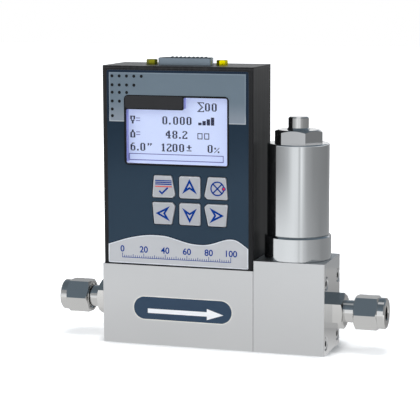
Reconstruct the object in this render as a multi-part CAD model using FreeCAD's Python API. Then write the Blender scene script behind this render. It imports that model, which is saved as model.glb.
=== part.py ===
import FreeCAD, Part
import math
import os

# Thermal gas mass flow meter with a control valve and a display head.
#
# Millimetres. +X is the flow direction, +Y points to the back and +Z is up. The origin
# lies under the middle of the meter, on the flat base that it stands on.
# Sections: driving sizes, places worked out from them, shape helpers, one function per
# piece, and the list of nodes that is written out.

Vector = FreeCAD.Vector
EAST = Vector(1, 0, 0)
WEST = Vector(-1, 0, 0)
BACK = Vector(0, 1, 0)
UP = Vector(0, 0, 1)

# Driving sizes: the two steel blocks
body_length = 71.5
body_height = 36.5
valve_block_length = 32.5
valve_block_height = 41.2
block_depth = 30.0
block_edge_break = 0.3
pipe_height = 18.0
main_bore_radius = 8.0
main_bore_wall = 14.0
channel_radius = 2.4
port_depth = 10.0
screen_thickness = 0.8
screen_holes = 8
screen_hole_radius = 0.6
foot_hole_radius = 1.65
foot_hole_depth = 7.0
foot_hole_spacing = 52.0

# Driving sizes: screws that pull the two blocks together
block_screw_radius = 1.5
block_screw_head_radius = 2.75
block_screw_head_height = 3.0
block_screw_bite = 6.5
block_screw_side_margin = 4.0
block_screw_low = 5.0
block_screw_top_margin = 4.5
face_seal_section = 1.3
face_seal_land = 1.0
screw_hole_room = 0.15

# Driving sizes: quarter inch twin ferrule fittings
tube_radius = 3.175
tube_clearance = 0.05
fitting_flats = 14.29
fitting_stem_radius = 5.5
fitting_hex_length = 6.4
fitting_neck_radius = 5.0
fitting_thread_radius = 5.5
fitting_thread_start = 12.0
fitting_end = 19.5
fitting_socket_bottom = 12.5
nut_start = 11.0
nut_hex_length = 10.8
nut_collar_radius = 6.95
nut_collar_length = 3.2
ferrule_radius = 5.0

# Driving sizes: flow element and sensor
element_length = 16.0
element_gap = 0.1
element_flutes = 12
element_flute_width = 0.7
element_flute_depth = 3.2
tap_spacing = 22.0
tap_radius = 0.75
sensor_base_length = 38.0
sensor_base_width = 12.0
sensor_base_height = 5.0
sensor_screw_inset = 3.0
top_screw_bite = 6.0
sensor_tube_radius = 0.45
sensor_tube_rise = 9.0
sensor_bend_radius = 2.5
winding_length = 5.0
winding_spacing = 6.0
winding_radius = 1.1
sensor_cover_wall = 0.8
sensor_cover_room = 0.9
sensor_cover_headroom = 2.0
tap_seal_section = 0.9

# Driving sizes: control valve
valve_axis_shift = 0.4
valve_cavity_radius = 8.0
valve_cavity_depth = 14.0
seat_radius = 4.9
seat_height = 3.2
seat_lip_height = 0.6
orifice_radius = 0.6
ring_radius = 14.95
ring_height = 10.8
can_radius = 13.9
can_height = 41.0
can_wall = 1.4
can_top_wall = 2.0
guide_tube_radius = 5.5
guide_tube_wall = 0.6
guide_flange_radius = 8.8
guide_flange_height = 2.5
guide_spigot_length = 5.0
pole_length = 14.4
stem_radius = 4.6
stem_above_nut = 5.7
plunger_gap = 0.1
plunger_travel = 0.5
plunger_nose_radius = 3.6
spring_radius = 2.0
spring_wire_radius = 0.3
spring_pocket_depth = 10.0
spring_turns = 5
bobbin_wall = 1.0
bobbin_flange = 1.6
winding_gap = 0.5
valve_nut_flats = 19.0
valve_nut_height = 5.9
ring_screw_circle = 11.3
ring_screw_radius = 1.25
ring_screw_head_radius = 2.2
ring_screw_head_height = 2.5
ring_screw_bite = 6.0

# Driving sizes: display head case
case_depth = 29.0
case_height = 90.3
case_inset = 0.7
case_seam_gap = 0.2
case_wall = 1.5
front_wall = 1.6
case_corner_radius = 0.7
lid_thickness = 1.0
cover_thickness = 1.5
rib_width = 5.5
rib_depth = 4.0
lid_lug_height = 12.0
cover_screw_radius = 1.25
cover_screw_head_radius = 2.4
cover_screw_margin = 8.0
bracket_thickness = 1.5
bracket_upstand = 11.0
bracket_screw_inset = 7.0

# Driving sizes: front overlay, display and keys
overlay_thickness = 0.5
overlay_setback = 0.1
overlay_side_rim = 2.0
overlay_top_rim = 0.9
overlay_bottom_rim = 0.5
overlay_corner_radius = 1.0
display_height = 29.9
display_left_margin = 9.1
display_right_margin = 9.9
display_top_margin = 12.0
display_corner_radius = 1.2
display_depth = 4.0
tab_width = 27.3
tab_height = 5.6
window_thickness = 1.0
window_lap = 1.2
display_flange = 3.0
glass_thickness = 2.2
backlight_thickness = 1.6
board_thickness = 1.6
key_size = 9.9
key_column_pitch = 12.3
key_row_pitch = 12.1
key_cluster_right_margin = 27.4
key_cluster_drop = 58.1
key_corner_radius = 1.0
key_lean = 1.25
key_reach = 0.5
key_draft = 0.35
key_chamfer = 1.4
key_face_break = 0.3
key_gap = 0.3
key_proud = 0.4
key_lip = 0.8
key_lip_thickness = 0.8
key_travel = 0.5
key_stem_radius = 1.5
switch_size = 6.0
switch_height = 2.6
switch_well_depth = 1.8

# Driving sizes: boards and connector
main_board_top_drop = 15.5
main_board_bottom = 18.0
board_spacing = 9.0
board_margin = 0.6
board_top_drop = 4.0
board_hole_side_inset = 2.6
board_hole_end_inset = 3.0
board_post_flats = 4.6
board_screw_radius = 1.25
board_screw_bite = 3.0
chip_size = 12.0
chip_thickness = 1.4
header_length = 24.0
header_width = 4.0
header_height = 5.0
capacitor_radius = 3.0
capacitor_height = 6.0
connector_spacing = 33.32
connector_shell_width = 25.8
connector_shell_depth = 8.4
connector_shell_rise = 3.0
connector_sheet = 0.4
connector_slant_angle = 10.0
connector_flange_length = 39.2
connector_flange_width = 12.5
connector_flange_sheet = 1.0
connector_corner_radius = 1.6
connector_body_depth = 10.0
contact_pitch = 2.77
contact_row_spacing = 2.84
contact_hole_radius = 0.55
contact_width = 0.7
contact_tail = 1.5
contact_recess = 0.8
jack_flats = 4.4
jack_turn = 17.0
jack_height = 2.3
jack_hole_depth = 2.0
jack_hole_radius = 1.1
jack_stud_radius = 1.42
jack_stud_length = 5.0

# Fits and small clearances
slip = 0.05
seal_squeeze = 0.04
socket_depth_share = 0.6

# Places worked out from the sizes: blocks
block_left = -(body_length + valve_block_length) / 2
seam = block_left + body_length
block_right = seam + valve_block_length
block_front = -block_depth / 2
block_screw_y = block_depth / 2 - block_screw_side_margin
block_screw_high = body_height - block_screw_top_margin
block_screw_seat = block_screw_head_height + 0.2
main_bore_left = block_left + main_bore_wall
tube_socket_radius = tube_radius + tube_clearance
port_radius = fitting_stem_radius + slip
port_seal_radius = fitting_flats / 2 - 0.25
port_seal_depth = 1.3
nut_hex_end = nut_start + nut_hex_length
nut_end = nut_hex_end + nut_collar_length
face_seal_radius = main_bore_radius + face_seal_land
screen_radius = fitting_stem_radius - 1.0

# Places: valve
valve_x = seam + valve_block_length / 2 + valve_axis_shift
cavity_floor = valve_block_height - valve_cavity_depth
seat_top = cavity_floor + seat_height + seat_lip_height
ring_top = valve_block_height + ring_height
can_top = ring_top + can_height
nut_top = can_top + valve_nut_height
stem_top = nut_top + stem_above_nut
can_ceiling = can_top - can_top_wall
guide_inner_radius = guide_tube_radius - guide_tube_wall
pole_bottom = can_ceiling - pole_length
plunger_radius = guide_inner_radius - plunger_gap
plunger_bottom = seat_top + 0.05
plunger_top = pole_bottom - plunger_travel - 0.1

# Places: case. The front skin is set back a little from the front of the blocks.
case_left = block_left + case_inset
case_right = seam - case_seam_gap
case_middle = (case_left + case_right) / 2
case_front = -case_depth / 2
case_back = case_depth / 2
case_top = body_height + case_height
shell_top = case_top - lid_thickness
cover_front = case_back - cover_thickness
rib_front = cover_front - rib_depth
skin_face = case_front + overlay_setback
skin_back = skin_face + overlay_thickness
inner_front = skin_back + front_wall
inner_left = case_left + case_wall
inner_right = case_right - case_wall
overlay_left = case_left + overlay_side_rim
overlay_right = case_right - overlay_side_rim
overlay_bottom = body_height + overlay_bottom_rim
overlay_top = shell_top - overlay_top_rim

# Places: sensor
element_x = case_middle
sensor_top = body_height + sensor_base_height
tap_x = (element_x - tap_spacing / 2, element_x + tap_spacing / 2)
sensor_screw_reach = sensor_base_length / 2 - sensor_screw_inset
sensor_screw_x = (element_x - sensor_screw_reach, element_x + sensor_screw_reach)
sensor_run_height = sensor_top + sensor_tube_rise

# Places: display
display_left = overlay_left + display_left_margin
display_right = overlay_right - display_right_margin
display_top = overlay_top - display_top_margin
display_bottom = display_top - display_height
tab_right = display_left + tab_width
tab_bottom = display_top - tab_height
window_back = skin_back + window_thickness
glass_front = skin_face + display_depth
glass_back = glass_front + glass_thickness
board_front = glass_back + backlight_thickness
board_back = board_front + board_thickness
main_front = board_back + board_spacing
main_back = main_front + board_thickness

# Places: keys. The cluster is centred on its middle column and between its two rows.
cluster_x = overlay_right - key_cluster_right_margin
cluster_z = overlay_top - key_cluster_drop
key_face = skin_face - key_proud
key_lip_front = inner_front + slip
key_lip_back = key_lip_front + key_lip_thickness
switch_front = board_front - switch_height
key_stem_end = switch_front + switch_well_depth - key_travel - 0.3

# Places: boards and connector
board_left = inner_left + board_margin
board_right = inner_right - board_margin
board_low = body_height + main_board_bottom
board_high = shell_top - board_top_drop
main_high = shell_top - main_board_top_drop
post_places = [
    (x, z)
    for x in (board_left + board_hole_side_inset, board_right - board_hole_side_inset)
    for z in (board_low + board_hole_end_inset, main_high - board_hole_end_inset)
]
connector_x = case_middle
connector_top = case_top + connector_shell_rise
flange_bottom = shell_top - connector_flange_sheet
jack_x = (connector_x - connector_spacing / 2, connector_x + connector_spacing / 2)


# Shape helpers
def box(x0, x1, y0, y1, z0, z1):
    """A box between two corners."""
    return Part.makeBox(x1 - x0, y1 - y0, z1 - z0, Vector(x0, y0, z0))


def rod(radius, start, length, axis=UP):
    """A cylinder from start, along axis."""
    return Part.makeCylinder(radius, length, start, axis)


def placed(shape, origin, axis):
    """A shape built along +Z, moved so that its Z axis runs from origin along axis."""
    shape.Placement = FreeCAD.Placement(origin, FreeCAD.Rotation(UP, axis))
    return shape


def turned(profile, origin=Vector(0, 0, 0), axis=UP):
    """A turned piece: profile holds (radius, distance along the axis) corners."""
    corners = [Vector(radius, 0, along) for radius, along in profile]
    face = Part.Face(Part.makePolygon(corners + corners[:1]))
    return placed(face.revolve(Vector(0, 0, 0), UP, 360), origin, axis)


def ring_seal(radius, section, origin, axis=UP):
    """A seal: radius to the middle of its eight-sided section, and the section's radius."""
    turns = [math.radians(22.5 + 45 * step) for step in range(8)]
    profile = [(radius + section * math.cos(turn), section * math.sin(turn)) for turn in turns]
    return turned(profile, origin, axis)


def hexagon(flats, low, high, first_corner=0.0):
    """A hexagonal prism along +Z, with its first corner turned by an angle."""
    reach = flats / math.sqrt(3)
    turns = [math.radians(first_corner + 60 * step) for step in range(6)]
    corners = [Vector(reach * math.cos(a), reach * math.sin(a), low) for a in turns]
    return Part.Face(Part.makePolygon(corners + corners[:1])).extrude(UP * (high - low))


def hex_blank(flats, low, high, first_corner=0.0, low_break=True, high_break=True):
    """A hexagon whose ends are turned down at 30 degrees, as on a nut."""
    reach = flats / math.sqrt(3)
    ring = flats / 2 * 0.97
    drop = (reach - ring) * math.tan(math.radians(30))
    profile = [(0, low), (ring if low_break else reach, low)]
    profile += [(reach, low + drop)] if low_break else []
    profile += [(reach, high - drop)] if high_break else []
    profile += [(ring if high_break else reach, high), (0, high)]
    return hexagon(flats, low, high, first_corner).common(turned(profile))


def outline(corners, radius=0.0):
    """A closed outline in the XZ plane at Y 0, with its corners rounded."""
    points = [Vector(x, 0, z) for x, z in corners]
    if not radius:
        return Part.makePolygon(points + points[:1])
    edges = []
    tangents = []
    for index, corner in enumerate(points):
        before = (points[index - 1] - corner).normalize()
        after = (points[(index + 1) % len(points)] - corner).normalize()
        half = before.getAngle(after) / 2
        reach = radius / math.tan(half)
        middle = corner + (before + after).normalize() * (radius / math.sin(half) - radius)
        tangents.append((corner + before * reach, middle, corner + after * reach))
    for index, (start, middle, end) in enumerate(tangents):
        edges.append(Part.Arc(start, middle, end).toShape())
        following = tangents[(index + 1) % len(tangents)][0]
        edges.append(Part.LineSegment(end, following).toShape())
    return Part.Wire(edges)


def plate(wire, front, back):
    """A plate parallel to the front panel, between two depths."""
    face = Part.Face(wire)
    face.translate(Vector(0, front, 0))
    return face.extrude(BACK * (back - front))


def rectangle(left, right, low, high):
    """The four corners of an upright rectangle."""
    return [(left, low), (right, low), (right, high), (left, high)]


def grown(wire, amount):
    """An outline grown outwards by an even amount, with round corners."""
    return Part.Face(wire).makeOffset2D(amount).OuterWire


def group(shapes):
    """Separate like pieces that share one node."""
    return Part.makeCompound(list(shapes))


def cap_screw(radius, head_radius, head_height, length, start, axis):
    """A socket head screw. Start is under its head, and axis points from there to its tip."""
    shank = rod(radius, Vector(0, 0, 0), length)
    edge = head_radius * 0.12
    head = turned(
        [
            (0, 0),
            (head_radius, 0),
            (head_radius, -head_height + edge),
            (head_radius - edge, -head_height),
            (0, -head_height),
        ]
    )
    depth = head_height * socket_depth_share
    socket = hexagon(head_radius * 0.9, -head_height - 1, depth - head_height)
    return placed(shank.fuse(head).cut(socket), start, axis)


def flush_screw(radius, head_radius, length, start, axis):
    """A countersunk screw with a cross of two slots. Start is the middle of its flat face."""
    cone = head_radius - radius
    rim = 0.2
    cone_end = rim + cone
    head = [(0, 0), (head_radius, 0), (head_radius, rim), (radius, cone_end)]
    body = turned(head + [(radius, length), (0, length)])
    reach = head_radius * 0.6
    width = head_radius * 0.14
    for x, y in ((reach, width), (width, reach)):
        body = body.cut(box(-x, x, -y, y, -1, cone * 0.8))
    return placed(body, start, axis)


def flush_seat(radius, head_radius, depth, start, axis):
    """The hole that a countersunk screw goes into, with room all round."""
    wide = head_radius + slip
    narrow = radius + slip
    rim = 0.25
    cone_end = rim + wide - narrow
    profile = [(0, -1), (wide, -1), (wide, rim), (narrow, cone_end), (narrow, depth), (0, depth)]
    return placed(turned(profile), start, axis)


# Flow path
def block_screw_places():
    heights = (block_screw_low, block_screw_high)
    return [(y, z) for y in (-block_screw_y, block_screw_y) for z in heights]


def foot_hole_places():
    middle = block_left + body_length / 2
    return [middle - foot_hole_spacing / 2, middle + foot_hole_spacing / 2]


def steel_block(left, right, height):
    """A block of the flow body's depth, with its four upright edges broken."""
    block = box(left, right, block_front, -block_front, 0, height)
    upright_edges = [edge for edge in block.Edges if edge.BoundBox.ZLength > height / 2]
    return block.makeChamfer(block_edge_break, upright_edges)


def port(face_x, axis):
    """Threaded port with a pocket for its seal, cut inwards from an end face."""
    inwards = axis * -1
    start = Vector(face_x, 0, pipe_height)
    hole = rod(port_radius, start - inwards, port_depth + 1, inwards)
    pocket = rod(port_seal_radius, start - inwards, port_seal_depth + 1, inwards)
    return hole.fuse(pocket)


def flow_body():
    """Left block: inlet port, bore for the flow element, sensor taps and fixing holes."""
    body = steel_block(block_left, seam, body_height)
    bore = rod(main_bore_radius, Vector(main_bore_left, 0, pipe_height), seam - main_bore_left + 1, EAST)
    channel = rod(channel_radius, Vector(block_left + 1, 0, pipe_height), main_bore_wall, EAST)
    body = body.cut(bore).cut(channel).cut(port(block_left, WEST))
    pocket_start = Vector(block_left + port_depth - 1, 0, pipe_height)
    body = body.cut(rod(screen_radius + slip, pocket_start, 1 + screen_thickness + slip, EAST))
    for x in tap_x:
        seal_seat = Vector(x, 0, body_height - tap_seal_section)
        body = body.cut(rod(tap_radius, Vector(x, 0, pipe_height), body_height, UP))
        body = body.cut(rod(tap_radius + tap_seal_section + 0.6, seal_seat, 2, UP))
    for x in sensor_screw_x + bracket_screw_x():
        depth = top_screw_bite + 1
        body = body.cut(rod(block_screw_radius + slip, Vector(x, 0, body_height - depth), depth + 1, UP))
    for y, z in block_screw_places():
        depth = block_screw_bite + 1
        body = body.cut(rod(block_screw_radius + slip, Vector(seam + 1, y, z), depth + 1, WEST))
    for x in foot_hole_places():
        body = body.cut(rod(foot_hole_radius, Vector(x, 0, -1), foot_hole_depth + 1, UP))
    outside = Vector(seam + 1, 0, pipe_height)
    groove = rod(face_seal_radius + face_seal_section, outside, 1 + face_seal_section, WEST)
    return body.cut(groove.cut(rod(face_seal_radius, outside, 1 + face_seal_section, WEST)))


def valve_block():
    """Right block: passages up to the valve seat and down to the outlet port."""
    body = steel_block(seam, block_right, valve_block_height)
    body = body.cut(rod(valve_cavity_radius, Vector(valve_x, 0, cavity_floor), valve_cavity_depth + 1))
    feed_x = valve_x - (seat_radius + valve_cavity_radius) / 2
    feed = rod(channel_radius, Vector(seam - 1, 0, pipe_height), feed_x - seam + 1, EAST)
    riser = rod(1.2, Vector(feed_x, 0, pipe_height), cavity_floor - pipe_height + 1)
    drop = rod(1.6, Vector(valve_x, 0, pipe_height), cavity_floor - pipe_height + 1)
    outlet = rod(channel_radius, Vector(valve_x, 0, pipe_height), block_right - valve_x - 1, EAST)
    body = body.cut(feed).cut(riser).cut(drop).cut(outlet).cut(port(block_right, EAST))
    for y, z in block_screw_places():
        clear = block_screw_radius + screw_hole_room
        body = body.cut(rod(clear, Vector(seam - 1, y, z), valve_block_length + 2, EAST))
        head = turned(
            [
                (0, -1),
                (block_screw_head_radius + 0.6, -1),
                (block_screw_head_radius + 0.6, 0),
                (block_screw_head_radius + 0.2, 0.4),
                (block_screw_head_radius + 0.2, block_screw_seat),
                (0, block_screw_seat),
            ],
            Vector(block_right, y, z),
            WEST,
        )
        body = body.cut(head)
    for x, y in ring_screw_places():
        depth = ring_screw_bite + 1
        body = body.cut(rod(ring_screw_radius + slip, Vector(x, y, valve_block_height - depth), depth + 1))
    return body


def block_seal():
    """Face seal between the blocks, in the groove round the main bore."""
    half = face_seal_section / 2
    middle = Vector(seam - half, 0, pipe_height)
    return ring_seal(face_seal_radius + half, half - seal_squeeze, middle, EAST)


def block_screws():
    """Four long socket head screws from the outlet end."""
    length = valve_block_length - block_screw_seat + block_screw_bite
    return group(
        cap_screw(
            block_screw_radius,
            block_screw_head_radius,
            block_screw_head_height,
            length,
            Vector(block_right - block_screw_seat, y, z),
            WEST,
        )
        for y, z in block_screw_places()
    )


def inlet_screen():
    """Round screen in the bottom of the inlet port, drawn as a pierced disc."""
    start = block_left + port_depth
    disc = rod(screen_radius, Vector(start, 0, pipe_height), screen_thickness, EAST)
    for step in range(screen_holes):
        angle = 2 * math.pi * step / screen_holes
        y = screen_radius * 0.45 * math.cos(angle)
        z = pipe_height + screen_radius * 0.45 * math.sin(angle)
        disc = disc.cut(rod(screen_hole_radius, Vector(start - 1, y, z), screen_thickness + 2, EAST))
    return disc


def laminar_element():
    """Fluted plug that the main flow passes: each flute is a narrow straight slot."""
    radius = main_bore_radius - element_gap
    left = element_x - element_length / 2
    plug = turned(
        [
            (0, 0),
            (radius - 1, 0),
            (radius, 1),
            (radius, element_length - 1),
            (radius - 1, element_length),
            (0, element_length),
        ],
        Vector(left, 0, pipe_height),
        EAST,
    )
    for step in range(element_flutes):
        half = element_flute_width / 2
        floor = radius - element_flute_depth
        slot = box(left - 1, left + element_length + 1, -half, half, floor, radius + 1)
        slot.rotate(Vector(0, 0, 0), EAST, 360 * step / element_flutes)
        slot.translate(Vector(0, 0, pipe_height))
        plug = plug.cut(slot)
    return plug


# Tube fittings. Each is built along +Z from the block's face, then turned to its port.
def fitting_body():
    """Threaded stem, hexagon, neck, thread and the coned mouth that the ferrule seats in."""
    bore = channel_radius
    mouth = tube_socket_radius + 1.1
    outside = turned(
        [
            (bore, -port_depth + 1),
            (fitting_stem_radius - 0.6, -port_depth + 1),
            (fitting_stem_radius, -port_depth + 1.6),
            (fitting_stem_radius, 0),
            (fitting_neck_radius, 0),
            (fitting_neck_radius, fitting_thread_start),
            (fitting_thread_radius - 0.4, fitting_thread_start),
            (fitting_thread_radius, fitting_thread_start + 0.5),
            (fitting_thread_radius, fitting_end - 0.5),
            (fitting_thread_radius - 0.4, fitting_end),
            (mouth, fitting_end),
            (tube_socket_radius, fitting_end - 1.8),
            (tube_socket_radius, fitting_socket_bottom),
            (bore, fitting_socket_bottom),
        ]
    )
    hexagon_part = hex_blank(fitting_flats, 0, fitting_hex_length, 0.0, False, True)
    core = rod(fitting_neck_radius - 0.5, Vector(0, 0, -1), fitting_hex_length + 2)
    hexagon_part = hexagon_part.cut(core)
    return outside.fuse(hexagon_part).removeSplitter()


def fitting_nut():
    """Hexagon nut with a turned collar, threaded inside, with a cone that drives the ferrules."""
    thread = fitting_thread_radius + 0.1
    exit_radius = tube_socket_radius + 0.1
    blank = hex_blank(fitting_flats, nut_start, nut_hex_end, 30.0)
    collar = turned(
        [
            (0, nut_hex_end - 1),
            (nut_collar_radius, nut_hex_end - 1),
            (nut_collar_radius, nut_end - 0.5),
            (nut_collar_radius - 0.5, nut_end),
            (0, nut_end),
        ]
    )
    inside = turned(
        [
            (0, nut_start - 1),
            (thread + 0.4, nut_start - 1),
            (thread + 0.4, nut_start + 0.6),
            (thread, nut_start + 1.0),
            (thread, fitting_end + 1.3),
            (exit_radius, fitting_end + 1.3 + thread - exit_radius),
            (exit_radius, nut_end - 0.4),
            (exit_radius + 0.5, nut_end + 0.1),
            (0, nut_end + 0.1),
        ]
    )
    return blank.fuse(collar).cut(inside).removeSplitter()


def front_ferrule():
    """Coned sealing ring, its nose in the mouth of the fitting body."""
    inner = tube_socket_radius + 0.03
    nose = fitting_end - 1.3
    slope = 1.1 / 1.8
    return turned(
        [
            (inner, nose),
            (inner + 0.25, nose),
            (inner + 0.25 + slope * 1.35, nose + 1.35),
            (ferrule_radius, nose + 1.5),
            (ferrule_radius, nose + 2.2),
            (inner, nose + 2.2),
        ]
    )


def back_ferrule():
    """Narrow ring behind the front ferrule, pushed by the cone of the nut."""
    inner = tube_socket_radius + 0.03
    start = fitting_end + 0.95
    return turned(
        [
            (inner, start),
            (ferrule_radius, start),
            (ferrule_radius, start + 0.5),
            (inner + 0.5, start + 1.9),
            (inner, start + 1.9),
        ]
    )


def at_inlet(shape):
    return placed(shape, Vector(block_left, 0, pipe_height), WEST)


def at_outlet(shape):
    return placed(shape, Vector(block_right, 0, pipe_height), EAST)


def port_seals():
    """One round seal in the pocket of each port, under the hexagon of its fitting."""
    width = port_seal_radius - fitting_stem_radius
    section = min(width, port_seal_depth) / 2 - seal_squeeze
    radius = fitting_stem_radius + width / 2
    return group(
        ring_seal(radius, section, Vector(x, 0, pipe_height), EAST)
        for x in (block_left + port_seal_depth / 2, block_right - port_seal_depth / 2)
    )


# Sensor, on top of the flow body inside the case
def sensor_base():
    """Carrier for the capillary, clamped over the two taps."""
    half = sensor_base_length / 2
    side = sensor_base_width / 2
    base = box(element_x - half, element_x + half, -side, side, body_height, sensor_top)
    through = sensor_base_height + 2
    for x in tap_x:
        base = base.cut(rod(sensor_tube_radius + slip, Vector(x, 0, body_height - 1), through))
    for x in sensor_screw_x:
        clear = block_screw_radius + screw_hole_room
        base = base.cut(rod(clear, Vector(x, 0, body_height - 1), through))
    return base


def sensor_tube():
    """Capillary: up from one tap, across and down to the other, with round bends."""
    low = body_height + 0.3
    high = sensor_run_height
    left, right = tap_x
    bend = sensor_bend_radius
    share = 1 - math.sqrt(0.5)

    def at(x, z):
        return Vector(x, 0, z)

    rise = [at(left, low), at(left, high - bend)]
    level = [at(left + bend, high), at(right - bend, high)]
    fall = [at(right, high - bend), at(right, low)]
    first_middle = at(left + bend * share, high - bend * share)
    second_middle = at(right - bend * share, high - bend * share)
    edges = [
        Part.LineSegment(rise[0], rise[1]),
        Part.Arc(rise[1], first_middle, level[0]),
        Part.LineSegment(level[0], level[1]),
        Part.Arc(level[1], second_middle, fall[0]),
        Part.LineSegment(fall[0], fall[1]),
    ]
    path = Part.Wire([edge.toShape() for edge in edges])
    start = Part.Wire(Part.makeCircle(sensor_tube_radius, at(left, low), UP))
    return path.makePipeShell([start], True, False)


def sensor_windings():
    """Two heater windings side by side on the level run of the capillary."""
    windings = []
    for side in (-1, 1):
        start = element_x + side * winding_spacing / 2 - winding_length / 2
        sleeve = rod(winding_radius, Vector(start, 0, sensor_run_height), winding_length, EAST)
        core_start = Vector(start - 1, 0, sensor_run_height)
        windings.append(sleeve.cut(rod(sensor_tube_radius + 0.02, core_start, winding_length + 2, EAST)))
    return group(windings)


def sensor_cover():
    """Thin can that shields the capillary from draughts, on the carrier's top."""
    wall = sensor_cover_wall
    inside = tap_spacing / 2 + sensor_cover_room
    side = sensor_base_width / 2 - 2 * wall
    top = sensor_run_height + sensor_cover_headroom
    left, right = element_x - inside, element_x + inside
    can = box(left - wall, right + wall, -side - wall, side + wall, sensor_top, top + wall)
    return can.cut(box(left, right, -side, side, sensor_top - 1, top))


def sensor_seals():
    """Small round seals in the pockets of the two taps."""
    half = tap_seal_section / 2
    radius = tap_radius + half + 0.3
    return group(ring_seal(radius, half - seal_squeeze, Vector(x, 0, body_height - half)) for x in tap_x)


def bracket_screw_x():
    return (case_left + bracket_screw_inset, case_right - bracket_screw_inset)


def body_top_screws():
    """Socket head screws of one kind: two hold the sensor and two the bracket."""
    places = [(x, sensor_top) for x in sensor_screw_x]
    places += [(x, body_height + bracket_thickness) for x in bracket_screw_x()]
    down = UP * -1
    return group(
        cap_screw(
            block_screw_radius,
            block_screw_head_radius,
            block_screw_head_height,
            z - body_height + top_screw_bite,
            Vector(x, 0, z),
            down,
        )
        for x, z in places
    )


# Control valve, upright on the right block
def at_valve(z):
    return Vector(valve_x, 0, z)


def ring_screw_places():
    reach = ring_screw_circle * math.sqrt(0.5)
    return [(valve_x + x * reach, y * reach) for x in (-1, 1) for y in (-1, 1)]


def valve_seat():
    """Pressed-in seat with a small orifice and a raised lip."""
    lip = orifice_radius + 0.6
    return turned(
        [
            (orifice_radius, 0),
            (seat_radius, 0),
            (seat_radius, seat_height),
            (lip + 0.6, seat_height),
            (lip, seat_height + seat_lip_height),
            (orifice_radius, seat_height + seat_lip_height),
        ],
        at_valve(cavity_floor),
    )


def guide_tube():
    """Thin tube that the plunger slides in, with a flange and a spigot for its seal."""
    flange_top = guide_flange_height
    spigot = valve_cavity_radius - slip
    return turned(
        [
            (guide_inner_radius, -guide_spigot_length),
            (spigot, -guide_spigot_length),
            (spigot, -guide_spigot_length / 2 - 0.8),
            (spigot - 1.2, -guide_spigot_length / 2 - 0.8),
            (spigot - 1.2, -guide_spigot_length / 2 + 0.8),
            (spigot, -guide_spigot_length / 2 + 0.8),
            (spigot, 0),
            (guide_flange_radius, 0),
            (guide_flange_radius, flange_top),
            (guide_tube_radius, flange_top),
            (guide_tube_radius, can_ceiling - valve_block_height),
            (guide_inner_radius, can_ceiling - valve_block_height),
        ],
        at_valve(valve_block_height),
    )


def valve_seal():
    """Round seal in the groove of the guide tube's spigot."""
    section = 1.2 / 2 - seal_squeeze
    middle = valve_cavity_radius - slip - 1.2 / 2
    return ring_seal(middle, section, at_valve(valve_block_height - guide_spigot_length / 2))


def pole_piece():
    """Fixed core in the top of the guide tube. Its stem carries the nut and stands out on top."""
    edge = 0.5
    return turned(
        [
            (0, pole_bottom),
            (guide_inner_radius - 0.02, pole_bottom),
            (guide_inner_radius - 0.02, can_ceiling),
            (stem_radius, can_ceiling),
            (stem_radius, stem_top - edge),
            (stem_radius - edge, stem_top),
            (0, stem_top),
        ],
        at_valve(0),
    )


def plunger():
    """Magnetic plunger with a narrow nose, a pocket for its pad and one for its spring."""
    nose_top = valve_block_height - guide_spigot_length - 0.5
    pad = plunger_nose_radius - 0.8
    pocket = spring_radius + spring_wire_radius + 0.3
    return turned(
        [
            (0, plunger_bottom + 1.2),
            (pad, plunger_bottom + 1.2),
            (pad, plunger_bottom + 0.4),
            (plunger_nose_radius, plunger_bottom + 0.4),
            (plunger_nose_radius, nose_top),
            (plunger_radius, nose_top + plunger_radius - plunger_nose_radius),
            (plunger_radius, plunger_top - 0.4),
            (plunger_radius - 0.4, plunger_top),
            (pocket, plunger_top),
            (pocket, plunger_top - spring_pocket_depth),
            (0, plunger_top - spring_pocket_depth),
        ],
        at_valve(0),
    )


def plunger_pad():
    """Soft disc in the nose of the plunger that closes the orifice."""
    radius = plunger_nose_radius - 0.8 - 0.02
    return rod(radius, at_valve(plunger_bottom), 1.2)


def return_spring():
    """Round wire spring between the plunger's pocket and the pole piece."""
    low = plunger_top - spring_pocket_depth + spring_wire_radius
    high = pole_bottom - spring_wire_radius - 0.02
    coil = Part.makeHelix((high - low) / spring_turns, high - low, spring_radius)
    start = Part.Wire(Part.makeCircle(spring_wire_radius, Vector(spring_radius, 0, 0), BACK))
    spring = Part.Wire(coil).makePipeShell([start], True, True)
    spring.translate(at_valve(low + 0.01))
    return spring


def valve_base_ring():
    """Heavy ring that clamps the guide tube's flange to the block."""
    height = ring_height
    ring = turned(
        [
            (guide_flange_radius + slip, 0),
            (ring_radius - 0.3, 0),
            (ring_radius, 0.3),
            (ring_radius, height - 0.6),
            (ring_radius - 0.5, height),
            (guide_tube_radius + 0.3, height),
            (guide_tube_radius + 0.3, guide_flange_height + slip),
            (guide_flange_radius + slip, guide_flange_height + slip),
        ],
        at_valve(valve_block_height),
    )
    for x, y in ring_screw_places():
        ring = ring.cut(rod(ring_screw_radius + 0.1, Vector(x, y, valve_block_height - 1), height + 2))
        seat = ring_top - ring_screw_head_height - 0.2
        ring = ring.cut(rod(ring_screw_head_radius + 0.1, Vector(x, y, seat), 10))
    return ring


def ring_screws():
    """Four socket head screws of the base ring, hidden under the can."""
    under_head = ring_top - ring_screw_head_height - 0.2
    down = UP * -1
    length = under_head - valve_block_height + ring_screw_bite
    return group(
        cap_screw(
            ring_screw_radius,
            ring_screw_head_radius,
            ring_screw_head_height,
            length,
            Vector(x, y, under_head),
            down,
        )
        for x, y in ring_screw_places()
    )


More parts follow.
